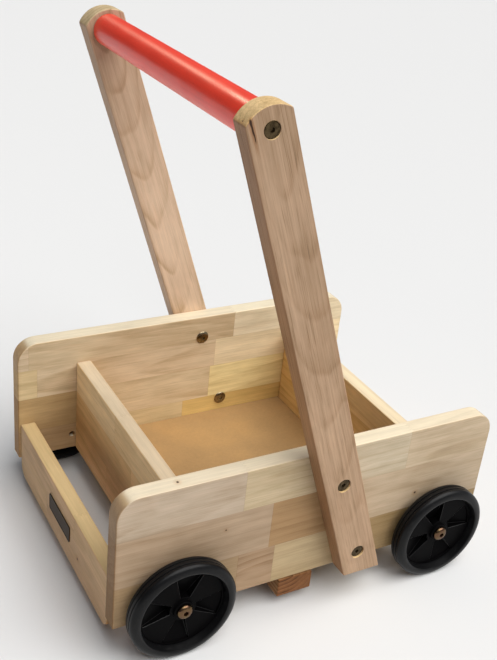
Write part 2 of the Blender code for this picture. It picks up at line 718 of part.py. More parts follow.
def axle_bolt_mesh(cutters):
    """Dome-head axle bolt, head outwards, its tip short of the panel's inner face."""
    tip = PANEL_AT - PANEL_THICK + AXLE_TIP_SHORT
    profile = [
        (0.0, HEAD_UNDER + HEAD_RISE),
        (AXLE_HEAD * 0.45, HEAD_UNDER + HEAD_RISE * 0.90),
        (AXLE_HEAD * 0.78, HEAD_UNDER + HEAD_RISE * 0.62),
        (AXLE_HEAD, HEAD_UNDER + HEAD_RISE * 0.25),
        (AXLE_HEAD, HEAD_UNDER),
        (SHANK_RADIUS, HEAD_UNDER),
        (SHANK_RADIUS, tip),
        (0.0, tip),
    ]
    bolt = turned("axle_bolt", profile, ROUND_STEPS, None, cutters)
    hex_socket(bolt, HEAD_UNDER + HEAD_RISE, AXLE_SOCKET_DEPTH, AXLE_SOCKET_RADIUS, cutters)
    return solid_mesh(bolt)


def bush_mesh(cutters):
    """Flanged bush that the hub turns on, with its flange against the panel."""
    inner = SHANK_RADIUS + HOLE_SLACK
    profile = [
        (inner, BUSH_OUTER),
        (BUSH_RADIUS, BUSH_OUTER),
        (BUSH_RADIUS, FLANGE_OUTER),
        (BUSH_FLANGE, FLANGE_OUTER),
        (BUSH_FLANGE, BUSH_INNER),
        (inner, BUSH_INNER),
    ]
    return solid_mesh(turned("bush", profile, ROUND_STEPS, None, cutters, closed=True))


def make_wheel(name, place, turn, hub_mesh, tyre_mesh, parts):
    """A tyre and its hub under an empty on the axle line, turned to where they stand at rest."""
    centre = bpy.data.objects.new("axle_" + name, None)
    parts.objects.link(centre)
    centre.matrix_world = place
    for piece, mesh in (("tyre", tyre_mesh), ("wheel_hub", hub_mesh)):
        obj = bpy.data.objects.new(f"{piece}_{name}", mesh)
        parts.objects.link(obj)
        obj.parent = centre
        obj.rotation_euler = (0.0, 0.0, turn)


def make_wheels(paints, parts, cutters):
    hub = turned("hub", hub_profile(), WHEEL_STEPS, paints["wheel_plastic"], cutters, closed=True)
    cut(hub, pocket_cutter(cutters))
    hub_mesh = solid_mesh(hub)
    tyre = turned("tyre", tyre_profile(), WHEEL_STEPS, paints["tyre_rubber"], cutters, closed=True)
    tyre_mesh = solid_mesh(tyre)
    places = {}
    for axle, (x, turn) in AXLES.items():
        for side, sign in SIDES.items():
            stand = Matrix.Rotation(-sign * math.pi / 2, 4, "X")
            place = Matrix.Translation((x, sign * WHEEL_Y, AXLE_Z)) @ stand
            make_wheel(f"{axle}_{side}", place, -sign * turn, hub_mesh, tyre_mesh, parts)
            places[f"{axle}_{side}"] = place
    insert_top = PANEL_AT - FIT_GAP
    shank_hole = SHANK_RADIUS + HOLE_SLACK
    insert = tube_mesh(shank_hole, INSERT_RADIUS, insert_top - INSERT_LENGTH, insert_top, cutters)
    fasteners = {
        "axle_bolt": (axle_bolt_mesh(cutters), "yellow_zinc"),
        "axle_bush": (bush_mesh(cutters), "bush_nylon"),
        "axle_insert": (insert, "steel"),
    }
    for kind, (mesh, paint) in fasteners.items():
        named = {f"{kind}_{where}": place for where, place in places.items()}
        place_copies(mesh, named, paints[paint], parts)


def main():
    clear_scene()
    parts = new_collection("push_walker")
    cutters = new_collection("cutters")
    paints = make_materials()
    for side, sign in SIDES.items():
        make_panel("side_panel_" + side, sign, paints, parts, cutters)
        make_post("handle_post_" + side, sign, paints, parts, cutters)
    make_boards(paints, parts, cutters)
    make_base(paints, parts, cutters)
    make_batten(paints, parts, cutters)
    make_dowels(paints, parts, cutters)
    make_name_plate(paints, parts)
    make_post_fasteners(paints, parts, cutters)
    make_handle(paints, parts, cutters)
    make_wheels(paints, parts, cutters)


if __name__ == "__main__":
    main()
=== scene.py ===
"""Finished looks of a toddler's push walker: a timber tray, a leaning handle and four moulded wheels.

Metres, +Z up, +X the way it rolls, +Y its left side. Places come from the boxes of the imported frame's nodes.
"""

import logging
import math
from collections.abc import Callable, Sequence
from dataclasses import dataclass, field
from enum import Enum

import bmesh
import bpy
from mathutils import Matrix, Vector


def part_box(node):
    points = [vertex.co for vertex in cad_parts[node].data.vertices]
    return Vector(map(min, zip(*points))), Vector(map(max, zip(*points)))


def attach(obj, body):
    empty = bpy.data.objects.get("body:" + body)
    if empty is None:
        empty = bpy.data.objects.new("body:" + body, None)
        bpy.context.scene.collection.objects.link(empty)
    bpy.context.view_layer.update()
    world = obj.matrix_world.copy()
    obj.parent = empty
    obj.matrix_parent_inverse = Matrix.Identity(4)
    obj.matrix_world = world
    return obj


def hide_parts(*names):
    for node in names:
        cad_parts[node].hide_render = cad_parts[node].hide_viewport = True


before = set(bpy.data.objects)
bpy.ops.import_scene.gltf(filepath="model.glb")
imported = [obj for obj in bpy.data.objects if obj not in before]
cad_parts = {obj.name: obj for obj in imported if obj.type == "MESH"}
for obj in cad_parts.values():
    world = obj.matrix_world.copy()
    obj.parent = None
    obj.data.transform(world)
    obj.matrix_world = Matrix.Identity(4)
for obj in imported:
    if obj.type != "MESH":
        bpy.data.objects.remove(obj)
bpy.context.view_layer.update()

log = logging.getLogger("push_walker")

Colour = tuple[float, float, float]
Triple = tuple[float, float, float]
Profile = Sequence[tuple[float, float]]

MM = 0.001
SIDES = {"left": 1, "right": -1}


# ================================================================ shader maths
class Num:
    """A number that varies over a surface. Its operators add Math nodes."""

    def __init__(self, graph: "Graph", socket: bpy.types.NodeSocket) -> None:
        """Holds the socket that carries the number.

        Args:
            graph: the node graph that new Math nodes go in.
            socket: the output socket that carries the number.
        """
        self.graph = graph
        self.socket = socket

    def __add__(self, other: "Num | float") -> "Num":
        """This number plus another."""
        return self.graph.math("ADD", self, other)

    def __radd__(self, other: float) -> "Num":
        """Another number plus this one."""
        return self.graph.math("ADD", other, self)

    def __sub__(self, other: "Num | float") -> "Num":
        """This number less another."""
        return self.graph.math("SUBTRACT", self, other)

    def __rsub__(self, other: float) -> "Num":
        """Another number less this one."""
        return self.graph.math("SUBTRACT", other, self)

    def __mul__(self, other: "Num | float") -> "Num":
        """This number times another."""
        return self.graph.math("MULTIPLY", self, other)

    def __rmul__(self, other: float) -> "Num":
        """Another number times this one."""
        return self.graph.math("MULTIPLY", other, self)

    def __truediv__(self, other: "Num | float") -> "Num":
        """This number over another."""
        return self.graph.math("DIVIDE", self, other)

    def __pow__(self, other: float) -> "Num":
        """This number to a power."""
        return self.graph.math("POWER", self, other)

    def __abs__(self) -> "Num":
        """This number without its sign."""
        return self.graph.math("ABSOLUTE", self)

    def least(self, other: "Num | float") -> "Num":
        """The smaller of this number and another."""
        return self.graph.math("MINIMUM", self, other)

    def most(self, other: "Num | float") -> "Num":
        """The larger of this number and another."""
        return self.graph.math("MAXIMUM", self, other)

    def past(self, edge: "Num | float") -> "Num":
        """1 where this number is over the edge, and 0 elsewhere."""
        return self.graph.math("GREATER_THAN", self, edge)

    def fraction(self) -> "Num":
        """What is left of this number over its whole part."""
        return self.graph.math("FRACT", self)

    def root(self) -> "Num":
        """The square root of this number."""
        return self.graph.math("SQRT", self)

    def rise(self, low: float, high: float) -> "Num":
        """0 below low and 1 above high, with a smooth step between them.

        Args:
            low: where the step starts.
            high: where the step ends.

        Returns:
            The stepped number.
        """
        inputs = {"Value": self, "From Min": low, "From Max": high, "To Min": 0.0, "To Max": 1.0}
        node = self.graph.node("ShaderNodeMapRange", {"interpolation_type": "SMOOTHSTEP"}, inputs)
        return Num(self.graph, node.outputs["Result"])


class Graph:
    """The node graph of a material or of the surround, with its one shader."""

    def __init__(self, owner: bpy.types.Material | bpy.types.World, shader: str = "Principled BSDF") -> None:
        """Gives the owner its nodes.

        Args:
            owner: the material or the world.
            shader: the name of its shader node.
        """
        self.owner = owner
        self.owner.use_nodes = True
        self.tree = self.owner.node_tree
        self.shader = self.tree.nodes[shader]

    @classmethod
    def named(cls, name: str) -> "Graph":
        """The graph of a new material."""
        return cls(bpy.data.materials.new(name))

    def plug(self, value: object, socket: bpy.types.NodeSocket) -> None:
        """Feeds a socket from a number, a socket or a plain value.

        Args:
            value: what it is fed from.
            socket: the input socket.
        """
        source = value.socket if isinstance(value, Num) else value
        if isinstance(source, bpy.types.NodeSocket):
            self.tree.links.new(source, socket)
        else:
            socket.default_value = source

    def node(self, kind: str, settings: dict | None = None, inputs: dict | None = None) -> bpy.types.Node:
        """Adds any node but a Math node.

        Args:
            kind: the node's type.
            settings: the node's own settings, set first. "stops" are a ramp's (place, colour) pairs.
            inputs: a value or a link for each named or numbered socket.

        Returns:
            The new node.
        """
        made = self.tree.nodes.new(kind)
        for name, value in (settings or {}).items():
            if name == "stops":
                ramp = made.color_ramp.elements
                while len(ramp) < len(value):
                    ramp.new(1.0)
                for stop, (place, colour) in zip(ramp, value):
                    stop.position = place
                    stop.color = (*colour, 1.0)
            else:
                setattr(made, name, value)
        for key, value in (inputs or {}).items():
            self.plug(value, made.inputs[key])
        return made

    def math(self, operation: str, *values: "Num | float") -> Num:
        """Adds a Math node.

        Args:
            operation: the Math node's operation.
            values: its numbers, in the order of its sockets.

        Returns:
            The result.
        """
        made = self.node("ShaderNodeMath", {"operation": operation}, dict(enumerate(values)))
        return Num(self, made.outputs[0])

    def vector(self, operation: str, *values: object) -> bpy.types.NodeSocket:
        """Adds a Vector Math node and gives its result."""
        made = self.node("ShaderNodeVectorMath", {"operation": operation}, dict(enumerate(values)))
        return made.outputs["Value" if operation == "DOT_PRODUCT" else "Vector"]

    def place(self) -> bpy.types.NodeSocket:
        """The point's place on its own piece."""
        return self.node("ShaderNodeTexCoord").outputs["Object"]

    def facing(self) -> bpy.types.NodeSocket:
        """The surface's direction on its own piece."""
        return self.node("ShaderNodeTexCoord").outputs["Normal"]

    def along(self, vector: bpy.types.NodeSocket, direction: Triple) -> Num:
        """How far a vector goes in a direction."""
        return Num(self, self.vector("DOT_PRODUCT", vector, direction))

    def noise(
        self,
        where: bpy.types.NodeSocket,
        stretch: Triple,
        detail: float = 2.0,
        offset: object = (0.0, 0.0, 0.0),
    ) -> Num:
        """Soft noise between 0 and 1.

        Args:
            where: the place that it is read at.
            stretch: how many features a metre holds in each direction.
            detail: how many finer layers it has.
            offset: moves the pattern, in features.

        Returns:
            The noise.
        """
        spot = self.vector("ADD", self.vector("MULTIPLY", where, stretch), offset)
        inputs = {"Vector": spot, "Scale": 1.0, "Detail": detail, "Roughness": 0.55}
        return Num(self, self.node("ShaderNodeTexNoise", None, inputs).outputs[0])

    def mix(
        self, share: "Num | float", first: object, second: object, blend: str = "MIX"
    ) -> bpy.types.NodeSocket:
        """Mixes two colours.

        Args:
            share: how much of the second colour there is.
            first: a colour, or a socket that carries one.
            second: the other colour or socket.
            blend: the Mix node's way of mixing.

        Returns:
            The socket with the mixed colour.
        """
        colours = [(*c, 1.0) if isinstance(c, tuple) else c for c in (first, second)]
        settings = {"data_type": "RGBA", "blend_type": blend}
        made = self.node("ShaderNodeMix", settings, {0: share, 6: colours[0], 7: colours[1]})
        return made.outputs[2]

    def mix_vector(self, share: Num, first: object, second: object) -> bpy.types.NodeSocket:
        """Mixes two vectors."""
        made = self.node("ShaderNodeMix", {"data_type": "VECTOR"}, {0: share, 4: first, 5: second})
        return made.outputs[1]

    def scaled(self, colour: object, by: Num) -> bpy.types.NodeSocket:
        """A colour made lighter or darker by a number."""
        grey = self.node("ShaderNodeCombineXYZ", None, {"X": by, "Y": by, "Z": by}).outputs[0]
        return self.mix(1.0, colour, grey, "MULTIPLY")

    def bump(self, height: Num, depth: float, strength: float = 1.0) -> None:
        """Raises the surface by a height.

        Args:
            height: the height over the surface, from 0 to 1.
            depth: how high 1 is, in metres.
            strength: how much of the bump shows.
        """
        inputs = {"Height": height, "Distance": depth, "Strength": strength}
        self.plug(self.node("ShaderNodeBump", None, inputs).outputs[0], self.shader.inputs["Normal"])

    def finish(self, colour: object, roughness: object, **fixed: float) -> bpy.types.Material:
        """Feeds the shader and gives the material.

        Args:
            colour: the base colour.
            roughness: the roughness.
            fixed: the shader's other values, by socket name with _ for a space.

        Returns:
            The finished material.
        """
        self.plug((*colour, 1.0) if isinstance(colour, tuple) else colour, self.shader.inputs["Base Color"])
        self.plug(roughness, self.shader.inputs["Roughness"])
        for name, value in fixed.items():
            self.shader.inputs[name.replace("_", " ")].default_value = value
        return self.owner


# ================================================================ finishes
@dataclass(frozen=True)
class Cut:
    """One length of timber within a stave: where it starts, its colour and how it was sawn.

    pith is where the tree's centre ran: across the stave, through it, and how fast it drifts along the grain.
    figure is how strongly its rings show.
    """

    start: float
    tint: Colour
    pith: Triple = (-0.04, 0.06, 0.05)
    figure: float = 1.0


@dataclass(frozen=True)
class Stave:
    """A strip of the board, from its lower edge up to the next stave, as cuts joined end to end."""

    low: float
    cuts: tuple[Cut, ...]


@dataclass(frozen=True)
class Knot:
    """A small dark knot, or a crack where it is stretched along the grain.

    Its place is along the grain, across it and through the board.
    """

    along: float
    across: float
    through: float
    radius: float
    stretch: float = 1.0


@dataclass(frozen=True)
class Timber:
    """Clear-lacquered rubberwood, glued up from finger-jointed staves.

    grain, across and through are the board's own directions. low and high are its corners along them.
    figure, crisp and ring are its rings' strength, sharpness and width. The paler tint on its faces that point
    across the grain is painted light, as on a lit top edge.
    Its opposite faces get a darker tint as painted shade. end_tint tints the end grain; on the posts it is
    paler, a painted highlight on their lit top ends. The painted shade along the grain is where a third tint
    starts, where it is full, and that tint.
    """

    name: str
    grain: Triple
    across: Triple
    through: Triple
    low: Triple
    high: Triple
    staves: tuple[Stave, ...]
    knots: tuple[Knot, ...] = ()
    figure: float = 0.34
    crisp: float = 1.8
    streaks: float = 0.20
    ring: float = 0.0090
    end_tint: Colour = (0.72, 0.60, 0.46)
    back_tint: Colour = (1.0, 1.0, 1.0)
    cream: Colour = (0.93, 0.817, 0.603)
    cream_share: float = 0.75
    fade: tuple[float, float, Colour] = (8.0, 9.0, (1.0, 1.0, 1.0))
    sheen: float = 0.48

    def pick(self, g: Graph, u: Num, v: Num, chosen: Callable[[Cut], Triple]) -> object:
        """One value of the cut that a point is in.

        Args:
            g: the graph.
            u: the place along the grain.
            v: the place across it.
            chosen: gives the value of a cut.

        Returns:
            The value, or the socket that carries it.
        """
        whole: object = None
        for stave in self.staves:
            row: object = None
            for cut in stave.cuts:
                row = chosen(cut) if row is None else g.mix_vector(u.past(cut.start), row, chosen(cut))
            whole = row if whole is None else g.mix_vector(v.past(stave.low), whole, row)
        return whole

    def joints(self, g: Graph, u: Num, v: Num) -> Num:
        """The thin glue lines between the staves and between their cuts.

        Args:
            g: the graph.
            u: the place along the grain, already zigzagged by the fingers.
            v: the place across it.

        Returns:
            1 on a line, and 0 off it.
        """
        lines = g.math("ADD", 0.0, 0.0)
        tops = [stave.low for stave in self.staves[1:]] + [self.high[1] + 1.0]
        for number, (stave, top) in enumerate(zip(self.staves, tops)):
            if number:
                lines = lines.most(1.0 - abs(v - stave.low).rise(0.00010, 0.00042))
            for cut in stave.cuts[1:]:
                inside = v.past(stave.low) * (1.0 - v.past(top))
                lines = lines.most((1.0 - abs(u - cut.start).rise(0.00010, 0.00042)) * inside)
        return lines

    def edges(self, u: Num, v: Num, w: Num) -> Num:
        """How far a point of the surface is from the board's nearest edge, in metres.

        Args:
            u: the place along the grain.
            v: the place across it.
            w: the place through the board.

        Returns:
            The distance.
        """
        gaps = []
        for place, low, high in zip((u, v, w), self.low, self.high):
            gaps.append((place - low).least(high - place))
        first, second, third = gaps
        return first.least(second).most(first.most(second).least(third))

    def material(self) -> bpy.types.Material:
        """Makes the timber's material.

        Returns:
            The material.
        """
        g = Graph.named(self.name)
        place = g.place()
        u = g.along(place, self.grain)
        v = g.along(place, self.across)
        w = g.along(place, self.through)
        board = g.node("ShaderNodeCombineXYZ", None, {"X": u, "Y": v, "Z": w}).outputs[0]

        finger_pitch, finger_reach = 0.0042, 0.0045
        fingers = abs((w / finger_pitch).fraction() - 0.5) * (2.0 * finger_reach)
        joint_u = u + fingers
        tint = self.pick(g, joint_u, v, lambda cut: cut.tint)
        pith = self.pick(g, joint_u, v, lambda cut: cut.pith)
        parts = g.node("ShaderNodeSeparateXYZ", None, {"Vector": pith}).outputs
        pith_v, pith_w, drift = Num(g, parts[0]), Num(g, parts[1]), Num(g, parts[2])
        seed = g.vector("MULTIPLY", pith, (170.0, 230.0, 310.0))
        shown = self.pick(g, joint_u, v, lambda cut: (cut.figure * self.figure,) * 3)
        figure = g.along(shown, (1, 0, 0))

        sway = g.noise(board, (3.0, 16.0, 16.0), 2.0, seed) - 0.5
        curl = g.noise(board, (12.0, 60.0, 60.0), 3.0, seed) - 0.5
        over = v - pith_v + sway * 0.024 + curl * 0.006
        under = w - pith_w + drift * u + sway * 0.014
        rings = ((over * over + under * under).root() / self.ring).fraction()
        late = rings ** self.crisp * (1.0 - rings.rise(0.86, 1.0))
        strong = g.noise(board, (4.0, 30.0, 30.0), 2.0, seed).rise(0.36, 0.66)

        band = g.noise(board, (5.0, 110.0, 110.0), 3.0, seed)
        streak = g.noise(board, (4.5, 420.0, 420.0), 3.0, seed)
        fibre = g.noise(board, (30.0, 900.0, 900.0), 3.0, seed)
        pores = g.noise(board, (26.0, 1700.0, 1700.0), 1.0, seed).rise(0.56, 0.70)
        cloud = g.noise(board, (10.0, 24.0, 24.0), 3.0, seed)
        mottle = g.noise(board, (34.0, 95.0, 95.0), 3.0, seed)
        dash = g.noise(board, (28.0, 620.0, 620.0), 2.0, seed).rise(0.60, 0.72)
        dash = dash * g.noise(board, (9.0, 34.0, 34.0), 1.0, seed).rise(0.42, 0.60)

        light = 1.0 + (band - 0.5) * 0.36 + (cloud - 0.5) * 0.52 + (mottle - 0.5) * 0.22
        light = light + (fibre - 0.5) * 0.30
        light = light + (streak - 0.5) * self.streaks - pores * self.streaks * 0.40
        light = light - late * (0.08 + 0.38 * strong) * figure
        wood = g.scaled(tint, light)
        wood = g.mix(dash * 0.28, wood, (0.82, 0.68, 0.52), "MULTIPLY")
        wood = g.mix((1.0 - light.rise(0.72, 1.10)) * 0.80, wood, (1.00, 0.94, 0.83), "MULTIPLY")
        wood = g.mix(late * strong * 0.40 * figure, wood, (0.92, 0.74, 0.56), "MULTIPLY")
        wood = g.mix(mottle.rise(0.42, 0.66) * 0.35, wood, (1.02, 0.985, 0.97), "MULTIPLY")

        # Painted shade: the colour is darkened by a tint further along the grain, towards the top of a post.
        start, stop, grain_shade_tint = self.fade
        wood = g.mix(u.rise(start, stop), wood, grain_shade_tint, "MULTIPLY")
        # Painted light: faces that point across the grain (the top edges of panels and boards) get a paler
        # tint, as if lit.
        lit_face_mask = g.along(g.facing(), self.across).rise(0.60, 0.90)
        wood = g.mix(lit_face_mask * self.cream_share, wood, g.scaled(self.cream, 0.5 + light * 0.5))
        # Painted shade: faces that point against the across direction (a post's rear face) are darkened by a
        # tint.
        painted_rear_shade = 1.0 - g.along(g.facing(), self.across).rise(-0.90, -0.60)
        wood = g.mix(painted_rear_shade, wood, self.back_tint, "MULTIPLY")
        # End grain gets its own tint; on the posts this tint is over 1, a painted highlight on their lit top
        # ends.
        end = abs(g.along(g.facing(), self.grain)).rise(0.35, 0.62)
        wood = g.mix(end, wood, self.end_tint, "MULTIPLY")

        lines = self.joints(g, joint_u, v)
        wood = g.mix(lines * 0.24, wood, (0.48, 0.32, 0.18), "MULTIPLY")
        for knot in self.knots:
            ahead, over, under = (u - knot.along) / knot.stretch, v - knot.across, w - knot.through
            reach = (ahead * ahead + over * over + under * under).root() + (fibre - 0.5) * knot.radius
            halo = 1.0 - reach.rise(knot.radius, knot.radius * 4.0)
            wood = g.mix(halo * 0.35, wood, (0.80, 0.58, 0.40), "MULTIPLY")
            wood = g.mix(1.0 - reach.rise(knot.radius * 0.5, knot.radius * 1.2), wood, (0.045, 0.022, 0.012))

        rub = g.noise(board, (60.0, 90.0, 90.0), 3.0)
        worn = (1.0 - (self.edges(u, v, w) + (rub - 0.5) * 0.0022).rise(0.0, 0.0016)) * rub.rise(0.30, 0.62)
        wood = g.mix(worn * 0.40, wood, (1.16, 1.12, 1.04), "MULTIPLY")
        grime = (1.0 - self.edges(u, v, w).rise(0.0006, 0.0050)) * (1.0 - worn) * cloud
        wood = g.mix(grime * 0.30, wood, (0.72, 0.56, 0.42), "MULTIPLY")

        gloss = self.sheen + (band - 0.5) * 0.16 + pores * 0.10 + worn * 0.14 + end * 0.10
        g.bump(fibre * 0.5 - pores * 0.6 - lines * 0.8 - late * 0.15, 0.00014, 0.50)
        return g.finish(wood, gloss, Coat_Weight=0.03, Coat_Roughness=0.30, Specular_IOR_Level=0.18)


@dataclass(frozen=True)
class Fibreboard:
    """Smooth brown pressed board: fine flecks, faint clouding and a dull face."""

    name: str
    tint: Colour

    def material(self) -> bpy.types.Material:
        """Makes the board's material.

        Returns:
            The material.
        """
        g = Graph.named(self.name)
        place = g.place()
        fleck = g.noise(place, (900.0, 900.0, 900.0), 3.0)
        lint = g.noise(place, (260.0, 260.0, 260.0), 3.0)
        cloud = g.noise(place, (16.0, 16.0, 16.0), 4.0)
        light = 1.0 + (fleck - 0.5) * 0.22 + (lint - 0.5) * 0.24 + (cloud - 0.5) * 0.50
        board = g.scaled(self.tint, light)
        board = g.mix(cloud.rise(0.45, 0.70) * 0.30, board, (1.06, 1.0, 0.84), "MULTIPLY")
        rubbed = g.noise(place, (30.0, 70.0, 30.0), 3.0).rise(0.55, 0.75)
        board = g.mix(rubbed * 0.18, board, (0.80, 0.70, 0.58), "MULTIPLY")
        g.bump(fleck * 0.6 + lint * 0.4, 0.00010, 0.45)
        return g.finish(board, 0.60 + (lint - 0.5) * 0.20 - rubbed * 0.10, Specular_IOR_Level=0.30)


@dataclass(frozen=True)
class Paint:
    """Sprayed paint on a turned bar, with orange peel and the dulling that hands leave."""

    name: str
    tint: Colour

    def material(self) -> bpy.types.Material:
        """Makes the paint's material.

        Returns:
            The material.
        """
        g = Graph.named(self.name)
        place = g.place()
        peel = g.noise(place, (420.0, 420.0, 420.0), 2.0)
        lines = g.noise(place, (520.0, 26.0, 520.0), 3.0)
        cloud = g.noise(place, (16.0, 16.0, 16.0), 3.0)
        handled = g.noise(place, (45.0, 12.0, 45.0), 4.0).rise(0.50, 0.72)
        specks = g.noise(place, (700.0, 700.0, 700.0), 2.0).rise(0.70, 0.76)
        paint = g.scaled(self.tint, 1.0 + (cloud - 0.5) * 0.30 + (peel - 0.5) * 0.12 + (lines - 0.5) * 0.24)
        paint = g.mix(handled * 0.22, paint, (0.86, 0.72, 0.70), "MULTIPLY")
        paint = g.mix(specks * 0.35, paint, (0.50, 0.32, 0.30), "MULTIPLY")
        g.bump(peel * 0.4 + lines * 0.6, 0.00012, 0.45)
        gloss = 0.33 + handled * 0.12 + (cloud - 0.5) * 0.10
        return g.finish(paint, gloss, Coat_Weight=0.10, Coat_Roughness=0.22, Specular_IOR_Level=0.50)


@dataclass(frozen=True)
class Rubber:
    """Moulded black tyre rubber: a satin skin with dust on it and scuffs on the tread."""

    name: str
    tint: Colour

    def material(self) -> bpy.types.Material:
        """Makes the rubber's material.

        Returns:
            The material.
        """
        g = Graph.named(self.name)
        place = g.place()
        skin = g.noise(place, (900.0, 900.0, 900.0), 2.0)
        cloud = g.noise(place, (38.0, 38.0, 38.0), 3.0)
        scuff = g.noise(place, (130.0, 420.0, 130.0), 4.0).rise(0.58, 0.72)
        dust = g.noise(place, (1500.0, 1500.0, 1500.0), 1.0).rise(0.70, 0.78) * cloud.rise(0.40, 0.70)
        rubber = g.scaled(self.tint, 1.0 + (cloud - 0.5) * 0.7)
        rubber = g.mix(scuff * 0.50, rubber, (0.014, 0.0135, 0.013))
        rubber = g.mix(dust * 0.40, rubber, (0.08, 0.075, 0.07))
        g.bump(skin * 0.7 + scuff * 0.3, 0.00010, 0.35)
        return g.finish(rubber, 0.31 + (cloud - 0.5) * 0.14 + scuff * 0.16, Specular_IOR_Level=0.17)


@dataclass(frozen=True)
class Plastic:
    """Moulded plastic with a spark-eroded grain."""

    name: str
    tint: Colour
    roughness: float
    grain: float = 1600.0
    shine: float = 0.4

    def material(self) -> bpy.types.Material:
        """Makes the plastic's material.

        Returns:
            The material.
        """
        g = Graph.named(self.name)
        place = g.place()
        grain = g.noise(place, (self.grain, self.grain, self.grain), 2.0)
        cloud = g.noise(place, (55.0, 55.0, 55.0), 3.0)
        scratch = g.noise(place, (60.0, 60.0, 900.0), 3.0).rise(0.66, 0.72)
        plastic = g.scaled(self.tint, 1.0 + (cloud - 0.5) * 0.5 + (grain - 0.5) * 0.3 + scratch * 0.6)
        g.bump(grain, 0.00007, 0.5)
        shine = {"Specular_IOR_Level": self.shine}
        return g.finish(plastic, self.roughness + (cloud - 0.5) * 0.14 + scratch * 0.10, **shine)


@dataclass(frozen=True)
class Plating:
    """Zinc plating over steel, with the uneven tint of its dip and dull rubbed spots."""

    name: str
    tint: Colour
    other: Colour
    roughness: float

    def material(self) -> bpy.types.Material:
        """Makes the plating's material.

        Returns:
            The material.
        """
        g = Graph.named(self.name)
        place = g.place()
        dip = g.noise(place, (210.0, 210.0, 210.0), 3.0)
        stain = g.noise(place, (620.0, 620.0, 620.0), 3.0)
        scratch = g.noise(place, (300.0, 2600.0, 300.0), 2.0).rise(0.58, 0.70)
        metal = g.mix(dip.rise(0.36, 0.64), self.tint, self.other)
        metal = g.mix(stain.rise(0.58, 0.74) * 0.45, metal, (0.42, 0.34, 0.26), "MULTIPLY")
        g.bump(stain * 0.5 - scratch * 0.5, 0.00005, 0.4)
        return g.finish(metal, self.roughness + (stain - 0.5) * 0.20 + scratch * 0.10, Metallic=1.0)


class Slot(Enum):
    """The record's material slots."""

    PANEL = "panel_wood"
    BOARD = "board_wood"
    POST = "post_wood"
    BATTEN = "batten_wood"
    BASE = "fibreboard"
    RED = "red_paint"
    TYRE = "tyre_rubber"
    HUB = "wheel_plastic"
    BRONZE = "bronze_zinc"
    YELLOW = "yellow_zinc"
    STEEL = "steel"
    NYLON = "bush_nylon"
    DOWEL = "dowel_wood"
    PLATE = "dark_plate"


# ================================================================ the bench: modelling one piece at a time
class Element(Enum):
    """What is picked in edit mode."""

    CORNER = "VERT"
    EDGE = "EDGE"
    FACE = "FACE"


